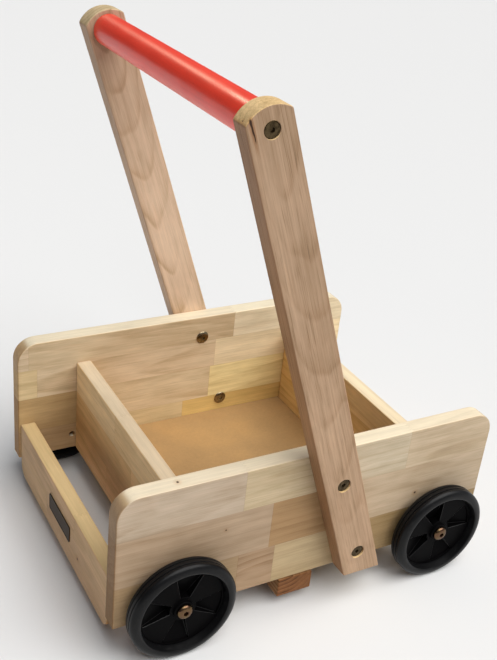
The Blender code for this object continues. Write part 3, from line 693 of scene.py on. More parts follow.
class Bench:
    """Operators that shape the active piece in edit mode, and the finishing of a piece."""

    @staticmethod
    def clear() -> None:
        """Deselects every object, out of edit mode."""
        if bpy.context.object is not None and bpy.context.object.mode != "OBJECT":
            bpy.ops.object.mode_set(mode="OBJECT")
        bpy.ops.object.select_all(action="DESELECT")

    @staticmethod
    def take(piece: bpy.types.Object) -> None:
        """Makes a piece the only selected one and the active one.

        Args:
            piece: the piece.
        """
        Bench.clear()
        piece.select_set(True)
        bpy.context.view_layer.objects.active = piece

    @staticmethod
    def named(name: str) -> bpy.types.Object:
        """Applies the new primitive's place and names it.

        Args:
            name: its name.

        Returns:
            The primitive.
        """
        piece = bpy.context.object
        bpy.ops.object.transform_apply(location=True, rotation=True, scale=True)
        piece.name = name
        piece.data.name = name
        return piece

    @staticmethod
    def block(name: str, low: Vector, high: Vector) -> bpy.types.Object:
        """A box between two corners, to be shaped further.

        Args:
            name: its name.
            low: its lowest corner.
            high: its highest corner.

        Returns:
            The box.
        """
        Bench.clear()
        middle = (low + high) / 2
        bpy.ops.mesh.primitive_cube_add(size=1.0, location=middle, scale=high - low)
        return Bench.named(name)

    @staticmethod
    def turned(name: str, profile: Profile, steps: int, ring: bool = False) -> bpy.types.Object:
        """A turned piece about Z: a circle that is extruded and resized from ring to ring.

        Args:
            name: the piece's name.
            profile: (radius, height) of each ring. A radius of 0 closes the end at the axis.
            steps: how many sides it has.
            ring: whether the last ring joins the first, as round a bore.

        Returns:
            The piece.
        """
        Bench.clear()
        points = [(max(radius, 0.0), height) for radius, height in profile]
        closed_start = points[0][0] == 0.0
        if closed_start:
            points = points[1:]
        radius, height = points[0]
        bpy.ops.mesh.primitive_circle_add(vertices=steps, radius=radius, location=(0.0, 0.0, height))
        piece = Bench.named(name)
        bpy.ops.object.mode_set(mode="EDIT")
        bpy.ops.mesh.select_all(action="SELECT")
        if closed_start:
            bpy.ops.mesh.edge_face_add()
            bpy.ops.mesh.poke()
            Bench.pick(piece, Element.EDGE, lambda edge: edge.is_boundary)
        for radius_next, height_next in points[1:] + ([points[0]] if ring else []):
            bpy.ops.mesh.extrude_region_move(
                TRANSFORM_OT_translate={"value": (0.0, 0.0, height_next - height)}
            )
            share = radius_next / radius
            centre = (0.0, 0.0, height_next)
            bpy.ops.transform.resize(value=(share, share, 1.0), center_override=centre)
            radius, height = max(radius_next, 1e-9), height_next
        bpy.ops.mesh.select_all(action="SELECT")
        bpy.ops.mesh.remove_doubles(threshold=1e-6)
        bpy.ops.mesh.normals_make_consistent(inside=False)
        bpy.ops.object.mode_set(mode="OBJECT")
        return piece

    @staticmethod
    def pick(piece: bpy.types.Object, kind: Element, test: Callable[[object], bool]) -> int:
        """Selects the corners, edges or faces that pass a test, in edit mode.

        Args:
            piece: the piece in edit mode.
            kind: what is picked.
            test: says whether one is wanted.

        Returns:
            How many are selected.
        """
        bpy.ops.mesh.select_mode(type=kind.value)
        shape = bmesh.from_edit_mesh(piece.data)
        pool = {Element.CORNER: shape.verts, Element.EDGE: shape.edges, Element.FACE: shape.faces}[kind]
        wanted = [element for element in pool if test(element)]
        for element in (*shape.verts, *shape.edges, *shape.faces):
            element.select = False
        for element in wanted:
            element.select = True
        shape.select_flush_mode()
        bmesh.update_edit_mesh(piece.data)
        return len(wanted)

    @staticmethod
    def round_edges(
        piece: bpy.types.Object,
        test: Callable[[bmesh.types.BMEdge], bool],
        width: float,
        steps: int,
        layer: int = -1,
    ) -> None:
        """Bevels the edges that pass a test.

        Args:
            piece: the piece.
            test: says whether an edge is rounded.
            width: how far the rounding reaches on each side.
            steps: how many facets it has.
            layer: the finish that the new faces get, by number, or -1 for their neighbours' own.
        """
        Bench.take(piece)
        bpy.ops.object.mode_set(mode="EDIT")
        if Bench.pick(piece, Element.EDGE, test):
            bpy.ops.mesh.bevel(
                offset_type="OFFSET",
                offset=width,
                segments=steps,
                profile=0.5,
                affect="EDGES",
                material=layer,
            )
        bpy.ops.object.mode_set(mode="OBJECT")

    @staticmethod
    def trim(piece: bpy.types.Object, point: Vector, outward: Vector) -> None:
        """Saws off what lies past a plane, and closes the cut.

        Args:
            piece: the piece.
            point: a point on the plane.
            outward: the side that goes.
        """
        Bench.take(piece)
        bpy.ops.object.mode_set(mode="EDIT")
        bpy.ops.mesh.select_all(action="SELECT")
        bpy.ops.mesh.bisect(plane_co=point, plane_no=outward, use_fill=True, clear_outer=True)
        bpy.ops.object.mode_set(mode="OBJECT")

    @staticmethod
    def drill(piece: bpy.types.Object, cutter: bpy.types.Object) -> None:
        """Takes a cutter's shape out of a piece, and throws the cutter away.

        Args:
            piece: the piece.
            cutter: the shape that is taken out.
        """
        Bench.take(piece)
        cut = piece.modifiers.new("hole", "BOOLEAN")
        cut.operation = "DIFFERENCE"
        cut.solver = "EXACT"
        cut.object = cutter
        bpy.ops.object.modifier_apply(modifier=cut.name)
        bpy.data.objects.remove(cutter, do_unlink=True)

    @staticmethod
    def smooth(piece: bpy.types.Object, degrees: float = 38.0) -> None:
        """Shades a piece smooth below an angle, with its broad faces kept flat.

        Args:
            piece: the piece.
            degrees: the sharpest edge that is still smooth.
        """
        Bench.take(piece)
        bpy.ops.object.shade_smooth_by_angle(angle=math.radians(degrees))
        weights = piece.modifiers.new("flat_faces", "WEIGHTED_NORMAL")
        weights.keep_sharp = True
        bpy.ops.object.modifier_apply(modifier=weights.name)

    @staticmethod
    def placed(model: bpy.types.Object, name: str, place: Matrix) -> bpy.types.Object:
        """A copy of a model with its own mesh, its place in the mesh.

        Args:
            model: what is copied.
            name: the copy's name.
            place: where the copy goes.

        Returns:
            The copy.
        """
        copy = model.copy()
        copy.data = model.data.copy()
        copy.name = name
        copy.data.name = name
        bpy.context.scene.collection.objects.link(copy)
        copy.matrix_world = place
        Bench.take(copy)
        bpy.ops.object.transform_apply(location=True, rotation=True, scale=True)
        return copy

    @staticmethod
    def hand_over(
        piece: bpy.types.Object, paint: bpy.types.Material, slot: Slot, body: str, node: str
    ) -> None:
        """Paints a finished piece and sets it on its body in place of its CAD node.

        Args:
            piece: the finished piece.
            paint: its material.
            slot: the record's slot that it takes its finish from; not used.
            body: the body that it moves with.
            node: the CAD node that it stands for.
        """
        if len(piece.data.materials):
            piece.data.materials[0] = paint
        else:
            piece.data.materials.append(paint)
        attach(piece, body)
        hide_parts(node)
        log.info("%s: %d faces on %s", piece.name, len(piece.data.polygons), body)


def pointing(start: Vector, direction: Triple) -> Matrix:
    """A matrix that takes Z to a direction and the origin to a start."""
    return Matrix.Translation(start) @ Vector(direction).to_track_quat("Z", "Y").to_matrix().to_4x4()


def arc(
    centre: tuple[float, float], radii: tuple[float, float], turn: tuple[float, float], steps: int
) -> list[tuple[float, float]]:
    """Points on an arc.

    Args:
        centre: the arc's centre.
        radii: its two half axes.
        turn: its first and last angle.
        steps: how many stretches it has.

    Returns:
        The points, both ends included.
    """
    angles = [turn[0] + (turn[1] - turn[0]) * step / steps for step in range(steps + 1)]
    return [(centre[0] + radii[0] * math.cos(a), centre[1] + radii[1] * math.sin(a)) for a in angles]


def runs_along(edge: bmesh.types.BMEdge, axis: int) -> bool:
    """Whether an edge runs along a world axis."""
    way = edge.verts[1].co - edge.verts[0].co
    return abs(way[axis]) > 0.999 * way.length


def is_corner(edge: bmesh.types.BMEdge, degrees: float = 30.0) -> bool:
    """Whether an edge is sharper than an angle."""
    return len(edge.link_faces) == 2 and edge.calc_face_angle(0.0) > math.radians(degrees)


# ================================================================ tray
@dataclass
class Tray:
    """The two side panels, the three cross boards, the base board, the batten and the plate."""

    panel_corner: float = 25 * MM
    rear_corner: float = 16 * MM
    eased: float = 1.6 * MM
    board_eased: float = 1.4 * MM
    axle_hole: float = 3.6 * MM
    hole_steps: int = 48
    panel_low: float = field(default_factory=lambda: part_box("side_panel_left")[0].z)

    def stave(self, low: float, *cuts: Cut) -> Stave:
        """A stave whose lower edge is given above the panels' bottom edge."""
        return Stave(self.panel_low + low, cuts)

    def right_timber(self, low: Vector, high: Vector) -> Timber:
        """The right panel's three staves.

        Args:
            low: the panel's lowest corner.
            high: its highest corner.

        Returns:
            The timber.
        """
        staves = (
            self.stave(
                0.0,
                Cut(-1.0, (0.38, 0.26, 0.145), (-0.03, 0.05, 0.04)),
                Cut(-0.085, (0.405, 0.272, 0.165), (0.062, -0.178, 0.25), 2.2),
                Cut(-0.042, (0.478, 0.358, 0.203), (0.16, 0.05, 0.02)),
                Cut(0.042, (0.350, 0.243, 0.119), (0.02, 0.10, 0.03)),
            ),
            self.stave(
                0.051,
                Cut(-1.0, (0.420, 0.302, 0.198), (0.045, -0.215, 0.035)),
                Cut(-0.050, (0.385, 0.236, 0.112), (0.045, -0.215, 0.035)),
                Cut(0.034, (0.528, 0.410, 0.283), (0.10, -0.236, 0.06)),
            ),
            self.stave(
                0.108,
                Cut(-1.0, (0.497, 0.392, 0.288), (0.175, -0.225, 0.10)),
                Cut(-0.085, (0.557, 0.442, 0.282), (-0.10, 0.16, 0.05)),
                Cut(0.020, (0.602, 0.510, 0.374), (0.30, -0.23, 0.05)),
                Cut(0.115, (0.568, 0.448, 0.309), (0.15, -0.20, -0.07)),
            ),
        )
        knots = (
            Knot(-0.107, self.panel_low + 0.0895, low.y, 0.0010),
            Knot(0.132, self.panel_low + 0.070, low.y, 0.0016),
            Knot(-0.160, high.z, low.y + 0.0101, 0.0015),
        )
        return self.panel_timber("panel_right_lacquered", low, high, staves, knots)

    def left_timber(self, low: Vector, high: Vector) -> Timber:
        """The left panel's four staves.

        Args:
            low: the panel's lowest corner.
            high: its highest corner.

        Returns:
            The timber.
        """
        # Painted light in part: these tints are paler than the right panel's to stand in for the brighter
        # light on this panel's inner face.
        staves = (
            self.stave(
                0.0,
                Cut(-1.0, (0.50, 0.34, 0.18), (0.02, 0.05, 0.04)),
                Cut(-0.118, (0.655, 0.520, 0.300), (0.12, 0.30, 0.03)),
                Cut(-0.006, (0.70, 0.495, 0.188), (-0.06, 0.10, 0.06)),
            ),
            self.stave(
                0.036,
                Cut(-1.0, (0.54, 0.37, 0.180), (0.10, 0.22, -0.06)),
                Cut(-0.118, (0.735, 0.590, 0.385), (0.09, 0.195, 0.05), 1.9),
                Cut(0.030, (0.85, 0.700, 0.360), (0.02, 0.30, 0.08)),
            ),
            self.stave(
                0.082,
                Cut(-1.0, (0.72, 0.56, 0.32), (0.02, 0.10, 0.04)),
                Cut(-0.200, (0.745, 0.590, 0.395), (0.135, 0.185, 0.06), 1.9),
                Cut(0.035, (0.84, 0.690, 0.450), (0.25, 0.10, 0.05)),
            ),
            self.stave(
                0.121,
                Cut(-1.0, (0.72, 0.57, 0.39), (0.00, 0.20, 0.04)),
                Cut(-0.210, (0.68, 0.530, 0.340), (0.21, 0.19, 0.10)),
                Cut(0.060, (0.85, 0.730, 0.520), (0.10, 0.26, 0.03)),
            ),
        )
        return self.panel_timber("panel_left_lacquered", low, high, staves, (), cream=(0.82, 0.74, 0.56))

    def panel_timber(
        self,
        name: str,
        low: Vector,
        high: Vector,
        staves: tuple[Stave, ...],
        knots: tuple[Knot, ...],
        **more: object,
    ) -> Timber:
        """A panel's timber, with its grain along X.

        Args:
            name: the material's name.
            low: the panel's lowest corner.
            high: its highest corner.
            staves: its staves, from the bottom up.
            knots: its knots.
            more: the timber's other fields.

        Returns:
            The timber.
        """
        corners = ((low.x, low.z, low.y), (high.x, high.z, high.y))
        return Timber(name, (1, 0, 0), (0, 0, 1), (0, 1, 0), *corners, staves, knots, **more)

    def board_timber(self, name: str, low: Vector, high: Vector, *staves: Stave, **more: object) -> Timber:
        """A cross board's timber, with its grain along Y."""
        corners = ((low.y, low.z, low.x), (high.y, high.z, high.x))
        return Timber(name, (0, 1, 0), (0, 0, 1), (1, 0, 0), *corners, staves, **more)

    def panel(self, side: str, timber: Timber) -> None:
        """A side panel: sawn, its top corners rounded, bored for the axles, its edges eased.

        Args:
            side: left or right.
            timber: what it is made of.
        """
        node = f"side_panel_{side}"
        low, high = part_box(node)
        panel = Bench.block(node + "_shaped", low, high)
        Bench.round_edges(
            panel, lambda e: runs_along(e, 1) and e.verts[0].co.z > high.z - MM, self.panel_corner, 12
        )
        Bench.round_edges(panel, is_corner, self.eased, 3)
        for axle in ("front", "rear"):
            first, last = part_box(f"axle_insert_{axle}_{side}")
            centre = (first + last) / 2
            bpy.ops.mesh.primitive_cylinder_add(
                vertices=self.hole_steps,
                radius=self.axle_hole,
                depth=2 * (high.y - low.y),
                location=(centre.x, (low.y + high.y) / 2, centre.z),
                rotation=(math.pi / 2, 0.0, 0.0),
            )
            Bench.drill(panel, bpy.context.object)
        Bench.smooth(panel)
        Bench.hand_over(panel, timber.material(), Slot.PANEL, "frame", node)

    def board(self, node: str, timber: Timber, lower_corner: float = 0.0) -> None:
        """A cross board: sawn, its lower corners rounded where asked, its edges eased.

        Args:
            node: the CAD node that it stands for.
            timber: what it is made of.
            lower_corner: the radius of its two lower corners.
        """
        low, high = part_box(node)
        board = Bench.block(node + "_shaped", low, high)
        if lower_corner:
            Bench.round_edges(
                board, lambda e: runs_along(e, 0) and e.verts[0].co.z < low.z + MM, lower_corner, 10
            )
        Bench.round_edges(board, is_corner, self.board_eased, 3)
        Bench.smooth(board)
        Bench.hand_over(board, timber.material(), Slot.BOARD, "frame", node)

    def boards(self) -> None:
        """The front board, the divider and the rear board."""
        low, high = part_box("front_board")
        # Painted light in part: these tints are very pale to stand in for the light bounced onto the board's
        # inner face from the base.
        front = self.board_timber(
            "front_board_lacquered",
            low,
            high,
            self.stave(0.0, Cut(-1.0, (0.83, 0.61, 0.29), (0.03, 0.05, 0.05)), Cut(0.03, (0.85, 0.64, 0.32))),
            self.stave(
                0.046,
                Cut(-1.0, (0.85, 0.63, 0.30), (0.10, 0.31, 0.06)),
                Cut(-0.06, (0.81, 0.59, 0.28)),
            ),
            self.stave(
                0.088,
                Cut(-1.0, (0.86, 0.67, 0.37), (0.02, 0.36, 0.03)),
                Cut(0.05, (0.87, 0.69, 0.41)),
            ),
            cream=(0.80, 0.68, 0.49),
        )
        self.board("front_board", front)
        low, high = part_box("divider_board")
        divider = self.board_timber(
            "divider_lacquered",
            low,
            high,
            self.stave(
                0.0,
                Cut(-1.0, (0.80, 0.51, 0.235), (0.03, -0.29, 0.05)),
                Cut(0.04, (0.84, 0.55, 0.255)),
            ),
            self.stave(
                0.040,
                Cut(-1.0, (0.84, 0.55, 0.265), (0.11, 0.02, 0.06)),
                Cut(-0.03, (0.80, 0.52, 0.24)),
            ),
            self.stave(
                0.083,
                Cut(-1.0, (0.88, 0.63, 0.34), (0.02, -0.08, 0.03)),
                Cut(0.02, (0.90, 0.66, 0.37)),
            ),
            cream=(0.63, 0.53, 0.39),
        )
        self.board("divider_board", divider)
        low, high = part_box("rear_board")
        rear = self.board_timber(
            "rear_board_lacquered",
            low,
            high,
            self.stave(
                -0.03,
                Cut(-1.0, (0.61, 0.395, 0.218), (0.03, -0.34, 0.05)),
                Cut(0.05, (0.63, 0.415, 0.218)),
            ),
            self.stave(
                0.020,
                Cut(-1.0, (0.65, 0.43, 0.23), (0.09, -0.02, 0.06)),
                Cut(-0.04, (0.63, 0.41, 0.22)),
            ),
            cream=(0.62, 0.475, 0.240),
            knots=(Knot(-0.0565, 0.0405, low.x, 0.0017),),
        )
        self.board("rear_board", rear, self.rear_corner)

    def base(self) -> None:
        """The base board, with its sawn edges just broken."""
        low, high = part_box("base_board")
        base = Bench.block("base_board_shaped", low, high)
        Bench.round_edges(base, is_corner, 0.5 * MM, 2)
        Bench.smooth(base)
        paint = Fibreboard("base_pressed_board", (0.385, 0.236, 0.100)).material()
        Bench.hand_over(base, paint, Slot.BASE, "frame", "base_board")

    def batten(self) -> None:
        """The batten under the tray, with its screws' countersunk holes."""
        low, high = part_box("cross_batten")
        batten = Bench.block("cross_batten_shaped", low, high)
        Bench.round_edges(batten, is_corner, 1.2 * MM, 3)
        for screw in ("left_outer", "left_inner", "right_outer", "right_inner"):
            first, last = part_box("batten_screw_" + screw)
            spot = (first + last) / 2
            head = (last.x - first.x) / 2
            wide = head + 0.3 * MM
            mouth = [
                (0.0, 5.0 * MM),
                (1.4 * MM, 5.0 * MM),
                (wide, 0.4 * MM),
                (wide, -MM),
                (0.0, -MM),
            ]
            cutter = Bench.turned("countersink", mouth, self.hole_steps)
            cutter.matrix_world = Matrix.Translation((spot.x, spot.y, low.z))
            Bench.drill(batten, cutter)
        Bench.smooth(batten)
        corners = ((low.y, low.x, low.z), (high.y, high.x, high.z))
        heart = Cut(-1.0, (0.34, 0.185, 0.085), (-0.030, 0.055, 0.010))
        timber = Timber(
            "batten_sawn",
            (0, 1, 0),
            (1, 0, 0),
            (0, 0, 1),
            *corners,
            (Stave(-1.0, (heart,)),),
            figure=2.2,
            ring=0.0058,
            end_tint=(0.66, 0.52, 0.42),
            sheen=0.58,
        )
        Bench.hand_over(batten, timber.material(), Slot.BATTEN, "frame", "cross_batten")

    def plate(self) -> None:
        """The blank dark plate on the rear board, with rounded corners and a raised rim."""
        low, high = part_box("name_plate")
        plate = Bench.block("name_plate_shaped", low, high)
        Bench.round_edges(plate, lambda e: runs_along(e, 0), 1.8 * MM, 5)
        bpy.ops.object.mode_set(mode="EDIT")
        Bench.pick(plate, Element.FACE, lambda f: f.normal.x < -0.9)
        bpy.ops.mesh.inset(thickness=1.0 * MM)
        bpy.ops.mesh.inset(thickness=0.25 * MM)
        bpy.ops.transform.translate(value=(0.3 * MM, 0.0, 0.0))
        bpy.ops.object.mode_set(mode="OBJECT")
        Bench.smooth(plate)
        paint = Plastic("plate_dark", (0.052, 0.036, 0.024), 0.50, 900.0, 0.12).material()
        Bench.hand_over(plate, paint, Slot.PLATE, "frame", "name_plate")

    def build(self) -> None:
        """Builds every piece of the tray."""
        self.panel("right", self.right_timber(*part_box("side_panel_right")))
        self.panel("left", self.left_timber(*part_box("side_panel_left")))
        self.boards()
        self.base()
        self.batten()
        self.plate()


# ================================================================ fasteners
@dataclass
class Fasteners:
    """Connector bolts, sleeve nuts and the hidden fixings."""

    steps: int = 64
    socket: float = 2.4 * MM
    socket_deep: float = 1.6 * MM

    def sunk_hex(self, piece: bpy.types.Object, top: float, radius: float, deep: float) -> None:
        """Sinks a hexagonal key socket into a head.

        Args:
            piece: the fastener, upright about Z.
            top: the height of its head's top.
            radius: half of the socket's width across corners.
            deep: how deep it is.
        """
        Bench.clear()
        over = MM
        middle = top - deep / 2 + over / 2
        bpy.ops.mesh.primitive_cylinder_add(
            vertices=6, radius=radius, depth=deep + over, location=(0, 0, middle)
        )
        cutter = Bench.named("hex_key")
        Bench.drill(piece, cutter)

        def at_mouth(vert: bmesh.types.BMVert) -> bool:
            """Whether a corner lies on the socket's mouth."""
            return abs(vert.co.z - top) < 0.05 * MM and vert.co.xy.length < radius * 1.02

        Bench.round_edges(
            piece, lambda e: is_corner(e, 60.0) and all(at_mouth(v) for v in e.verts), 0.12 * MM, 2
        )

    def connector_bolt(self, length: float, head: float) -> bpy.types.Object:
        """A flat-head connector bolt, its head's top at Z 0.

        Args:
            length: from the head's top to the tip.
            head: the head's radius.

        Returns:
            The model.
        """
        thick, shank, rim = 2.2 * MM, 3.0 * MM, 0.8 * MM
        profile = [
            (0.0, 0.0),
            (self.socket + 0.5 * MM, 0.0),
            (head - rim, 0.0),
            *arc((head - rim, -rim), (rim, rim), (math.pi * 0.42, 0.0), 4),
            (head, -thick + 0.2 * MM),
            (head - 0.2 * MM, -thick),
            (shank, -thick),
            (shank, -length + 0.8 * MM),
            (shank - 0.8 * MM, -length),
            (0.0, -length),
        ]
        bolt = Bench.turned("connector_bolt_model", profile, self.steps)
        self.sunk_hex(bolt, 0.0, self.socket, self.socket_deep)
        Bench.smooth(bolt, 32.0)
        return bolt

    def sleeve_nut(self, head: float) -> bpy.types.Object:
        """A domed sleeve nut, standing on Z 0 with its barrel below.

        Args:
            head: the head's radius.

        Returns:
            The model.
        """
        dome, barrel, bore, deep, lift = 2.7 * MM, 4.4 * MM, 3.3 * MM, 14.0 * MM, 0.3 * MM
        turns = (0.35, 0.6, 0.85, 1.1, 1.3, 1.45)
        shape = [(head * math.sin(a), lift + (dome - lift) * math.cos(a)) for a in turns]
        profile = [
            (0.0, dome),
            *shape,
            (head, lift + 0.2 * MM),
            (head - 0.2 * MM, lift),
            (barrel, lift),
            (barrel, -deep),
            (bore, -deep),
            (bore, -MM),
            (0.0, -MM),
        ]
        nut = Bench.turned("sleeve_nut_model", profile, self.steps)
        self.sunk_hex(nut, dome, self.socket, self.socket_deep)
        Bench.smooth(nut, 32.0)
        return nut

    def axle_bolt(self, head: float, under: float, rise: float, tip: float) -> bpy.types.Object:
        """A dome-head bolt that a wheel turns on.

        Args:
            head: the head's radius.
            under: the height of the head's seat in the axle's own frame.
            rise: the head's height over its seat.
            tip: the height of its inner end.

        Returns:
            The model.
        """
        shank, flat, foot = 3.0 * MM, 3.6 * MM, 0.7 * MM
        dome = arc((flat, under + foot), (head - flat, rise - foot), (math.pi / 2, 0.0), 9)
        profile = [
            (0.0, under + rise),
            (2.95 * MM, under + rise),
            *dome,
            (head, under + 0.2 * MM),
            (head - 0.2 * MM, under),
            (shank, under),
            (shank, tip + 0.6 * MM),
            (shank - 0.6 * MM, tip),
            (0.0, tip),
        ]
        bolt = Bench.turned("axle_bolt_model", profile, self.steps)
        self.sunk_hex(bolt, under + rise, 2.9 * MM, 3.0 * MM)
        Bench.smooth(bolt, 32.0)
        return bolt

    def build(self) -> None:
        """Builds the post bolts, the handle bolts and the sleeve nuts, and dresses the hidden fixings."""
        bronze = Plating("bronze_bolts", (0.050, 0.035, 0.018), (0.105, 0.074, 0.038), 0.26).material()
        bright = Plating("bronze_nuts", (0.20, 0.160, 0.100), (0.34, 0.275, 0.170), 0.24).material()
        steel = Plating("bright_zinc", (0.62, 0.62, 0.62), (0.52, 0.53, 0.56), 0.30).material()
        dowel = Plastic("dowel_beech", (0.64, 0.48, 0.30), 0.62, 700.0).material()
        for kind in ("post_bolt", "handle_bolt"):
            model = None
            for node in sorted(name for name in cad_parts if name.startswith(kind)):
                low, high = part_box(node)
                middle = (low + high) / 2
                side = 1 if middle.y > 0 else -1
                if model is None:
                    model = self.connector_bolt(high.y - low.y, (high.x - low.x) / 2)
                head = Vector((middle.x, high.y if side > 0 else low.y, middle.z))
                bolt = Bench.placed(model, node + "_turned", pointing(head, (0, side, 0)))
                Bench.hand_over(bolt, bronze, Slot.BRONZE, "frame", node)
            bpy.data.objects.remove(model, do_unlink=True)
        model = None
        for node in sorted(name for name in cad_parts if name.startswith("sleeve_nut")):
            low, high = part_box(node)
            middle = (low + high) / 2
            side = 1 if middle.y > 0 else -1
            if model is None:
                model = self.sleeve_nut((high.x - low.x) / 2)
            panel_low, panel_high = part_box("side_panel_left" if side > 0 else "side_panel_right")
            seat = Vector((middle.x, panel_low.y if side > 0 else panel_high.y, middle.z))
            nut = Bench.placed(model, node + "_turned", pointing(seat, (0, -side, 0)))
            Bench.hand_over(nut, bright, Slot.BRONZE, "frame", node)
        bpy.data.objects.remove(model, do_unlink=True)
        for node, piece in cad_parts.items():
            if "_insert_" in node or node.startswith("batten_screw"):
                piece.data.materials.clear()
                piece.data.materials.append(steel)
            elif "_dowel_" in node:
                piece.data.materials.clear()
                piece.data.materials.append(dowel)


# ================================================================ handle
@dataclass
class Handle:
    """The two leaning posts and the round bar between them."""

    lean: float = math.radians(19.0)
    width: float = 44 * MM
    shoulder: float = 546.5 * MM
    top_arc: float = 30 * MM
    eased: float = 1.5 * MM
    bar_edge: float = 1.6 * MM
    steps: int = 96

    def axes(self) -> tuple[Vector, Vector]:
        """The directions along a post and across it, forwards.

        Returns:
            The direction up the post, and the one across it.
        """
        up = Vector((-math.sin(self.lean), 0.0, math.cos(self.lean)))
        forward = Vector((math.cos(self.lean), 0.0, math.sin(self.lean)))
        return up, forward

    def foot(self, side: str) -> Vector:
        """Where a post's centre line meets the panel's bottom edge.

        Args:
            side: left or right.

        Returns:
            The place, with Y at 0.
        """
        low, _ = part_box(f"handle_post_{side}")
        bolt_low, bolt_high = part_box(f"post_bolt_{side}_lower")
        bolt = (bolt_low + bolt_high) / 2
        up, _ = self.axes()
        along = (bolt.z - low.z) / up.z
        return Vector((bolt.x - along * up.x, 0.0, low.z))

    def timber(self, side: str) -> Timber:
        """A post's timber, with its grain along the post.

        Args:
            side: left or right.

        Returns:
            The timber.
        """
        up, forward = self.axes()
        foot = self.foot(side)
        low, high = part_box(f"handle_post_{side}")
        start, middle, half = foot.dot(up), foot.dot(forward), self.width / 2
        corners = (
            (start - 0.01, middle - half, low.y),
            (start + self.shoulder + 0.02, middle + half, high.y),
        )
        if side == "right":
            cut = Cut(-9.0, (0.440, 0.292, 0.184), (middle + 0.004, low.y - 0.085, -0.090))
            knots = (
                Knot(start + 0.5490, middle - 0.0170, low.y, 0.0014, 3.4),
                Knot(start + 0.5430, middle - 0.0166, low.y, 0.0009, 6.5),
                Knot(start + 0.5360, middle - 0.0160, low.y, 0.0006, 10.0),
                Knot(start + 0.5490, middle - 0.0200, low.y + 0.008, 0.0009),
            )
        else:
            cut = Cut(-9.0, (0.72, 0.525, 0.365), (middle - 0.008, low.y + 0.092, 0.105))
            knots = ()
        return Timber(
            f"post_{side}_lacquered",
            tuple(up),
            tuple(forward),
            (0, 1, 0),
            *corners,
            (Stave(-9.0, (cut,)),),
            knots,
            figure=0.55 if side == "right" else 1.05,
            crisp=5.0,
            streaks=0.60 if side == "right" else 0.25,
            cream_share=0.0,
            # Painted shade: the post's colour darkens towards its top.
            fade=(start + 0.22, start + 0.53, (0.94, 0.95, 0.97) if side == "right" else (0.67, 0.63, 0.61)),
            ring=0.0060,
            # A tint over 1: painted highlight on the lit top end of the post.
            end_tint=(1.78, 1.88, 1.48) if side == "right" else (1.15, 1.30, 1.14),
            # Painted shade: the post's rear face is darkened by this tint.
            back_tint=(0.82, 0.67, 0.53) if side == "right" else (0.90, 0.86, 0.82),
            sheen=0.50,
        )

    def counterbore(self, piece: bpy.types.Object, node: str, side: int, face: float) -> None:
        """Sinks a bolt head's seat into a post's outer face, and the bolt's own hole.

        Args:
            piece: the post.
            node: the bolt's CAD node.
            side: 1 on the left, -1 on the right.
            face: the post's outer face, along Y.
        """
        low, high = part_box(node)
        middle = (low + high) / 2
        head = (high.x - low.x) / 2
        sunk = abs(face - (high.y if side > 0 else low.y))
        seat, flare = head + 0.3 * MM, 0.35 * MM
        deep = sunk + 2.5 * MM
        profile = [
            (0.0, 2 * MM),
            (seat + flare, 2 * MM),
            (seat + flare, 0.0),
            (seat, -flare),
            (seat, -deep),
            (3.3 * MM, -deep),
            (3.3 * MM, -30 * MM),
            (0.0, -30 * MM),
        ]
        cutter = Bench.turned("counterbore", profile, 72)
        cutter.matrix_world = pointing(Vector((middle.x, face, middle.z)), (0, side, 0))
        Bench.drill(piece, cutter)

    def post(self, side: str) -> None:
        """A post: sawn square, arched on top, cut level at the foot, eased and bored.

        Args:
            side: left or right.
        """
        node = f"handle_post_{side}"
        sign = SIDES[side]
        low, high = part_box(node)
        up, forward = self.axes()
        foot = self.foot(side)
        half = self.width / 2
        spread = math.asin(half / self.top_arc)
        centre = self.shoulder - self.top_arc * math.cos(spread)
        crown = centre + self.top_arc
        post = Bench.block(node + "_shaped", Vector((-half, low.y, -20 * MM)), Vector((half, high.y, crown)))
        facets = 14
        for facet in range(facets + 1):
            turn = spread * (2 * facet / facets - 1) * (1 - 0.5 / facets)
            outward = Vector((math.sin(turn), 0.0, math.cos(turn)))
            touch = Vector((0.0, 0.0, centre)) + outward * self.top_arc
            if abs(turn) > 1e-6:
                Bench.trim(post, touch, outward)
        turned = Matrix((forward, Vector((0, 1, 0)), up)).transposed().to_4x4()
        post.matrix_world = Matrix.Translation(foot) @ turned
        Bench.take(post)
        bpy.ops.object.transform_apply(location=True, rotation=True, scale=True)
        Bench.trim(post, Vector((0.0, 0.0, low.z)), Vector((0, 0, -1)))

        Bench.round_edges(post, lambda e: is_corner(e, 25.0), self.eased, 3)
        face = high.y if sign > 0 else low.y
        for bolt in ("post_bolt_{}_lower", "post_bolt_{}_upper", "handle_bolt_{}"):
            self.counterbore(post, bolt.format(side), sign, face)
        Bench.smooth(post)
        Bench.hand_over(post, self.timber(side).material(), Slot.POST, "frame", node)

    def bar(self) -> None:
        """The red bar, with its ends eased."""
        low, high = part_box("handle_bar")
        radius, half = (high.x - low.x) / 2, (high.y - low.y) / 2
        edge = self.bar_edge
        corner = arc((radius - edge, half - edge), (edge, edge), (math.pi / 2, 0.0), 5)
        stations = [half * share for share in (0.9, 0.6, 0.3, 0.0, -0.3, -0.6, -0.9)]
        profile = [(0.0, half), *corner, *[(radius, z) for z in stations]]
        profile += [(r, -z) for r, z in reversed(corner)] + [(0.0, -half)]
        bar = Bench.turned("handle_bar_turned", profile, self.steps)
        bar.matrix_world = pointing((low + high) / 2, (0, 1, 0))
        Bench.take(bar)
        bpy.ops.object.transform_apply(location=True, rotation=True, scale=True)
        Bench.smooth(bar, 32.0)
        paint = Paint("bar_red", (0.88, 0.055, 0.026)).material()
        Bench.hand_over(bar, paint, Slot.RED, "frame", "handle_bar")

    def build(self) -> None:
        """Builds both posts and the bar."""
        self.post("right")
        self.post("left")
        self.bar()


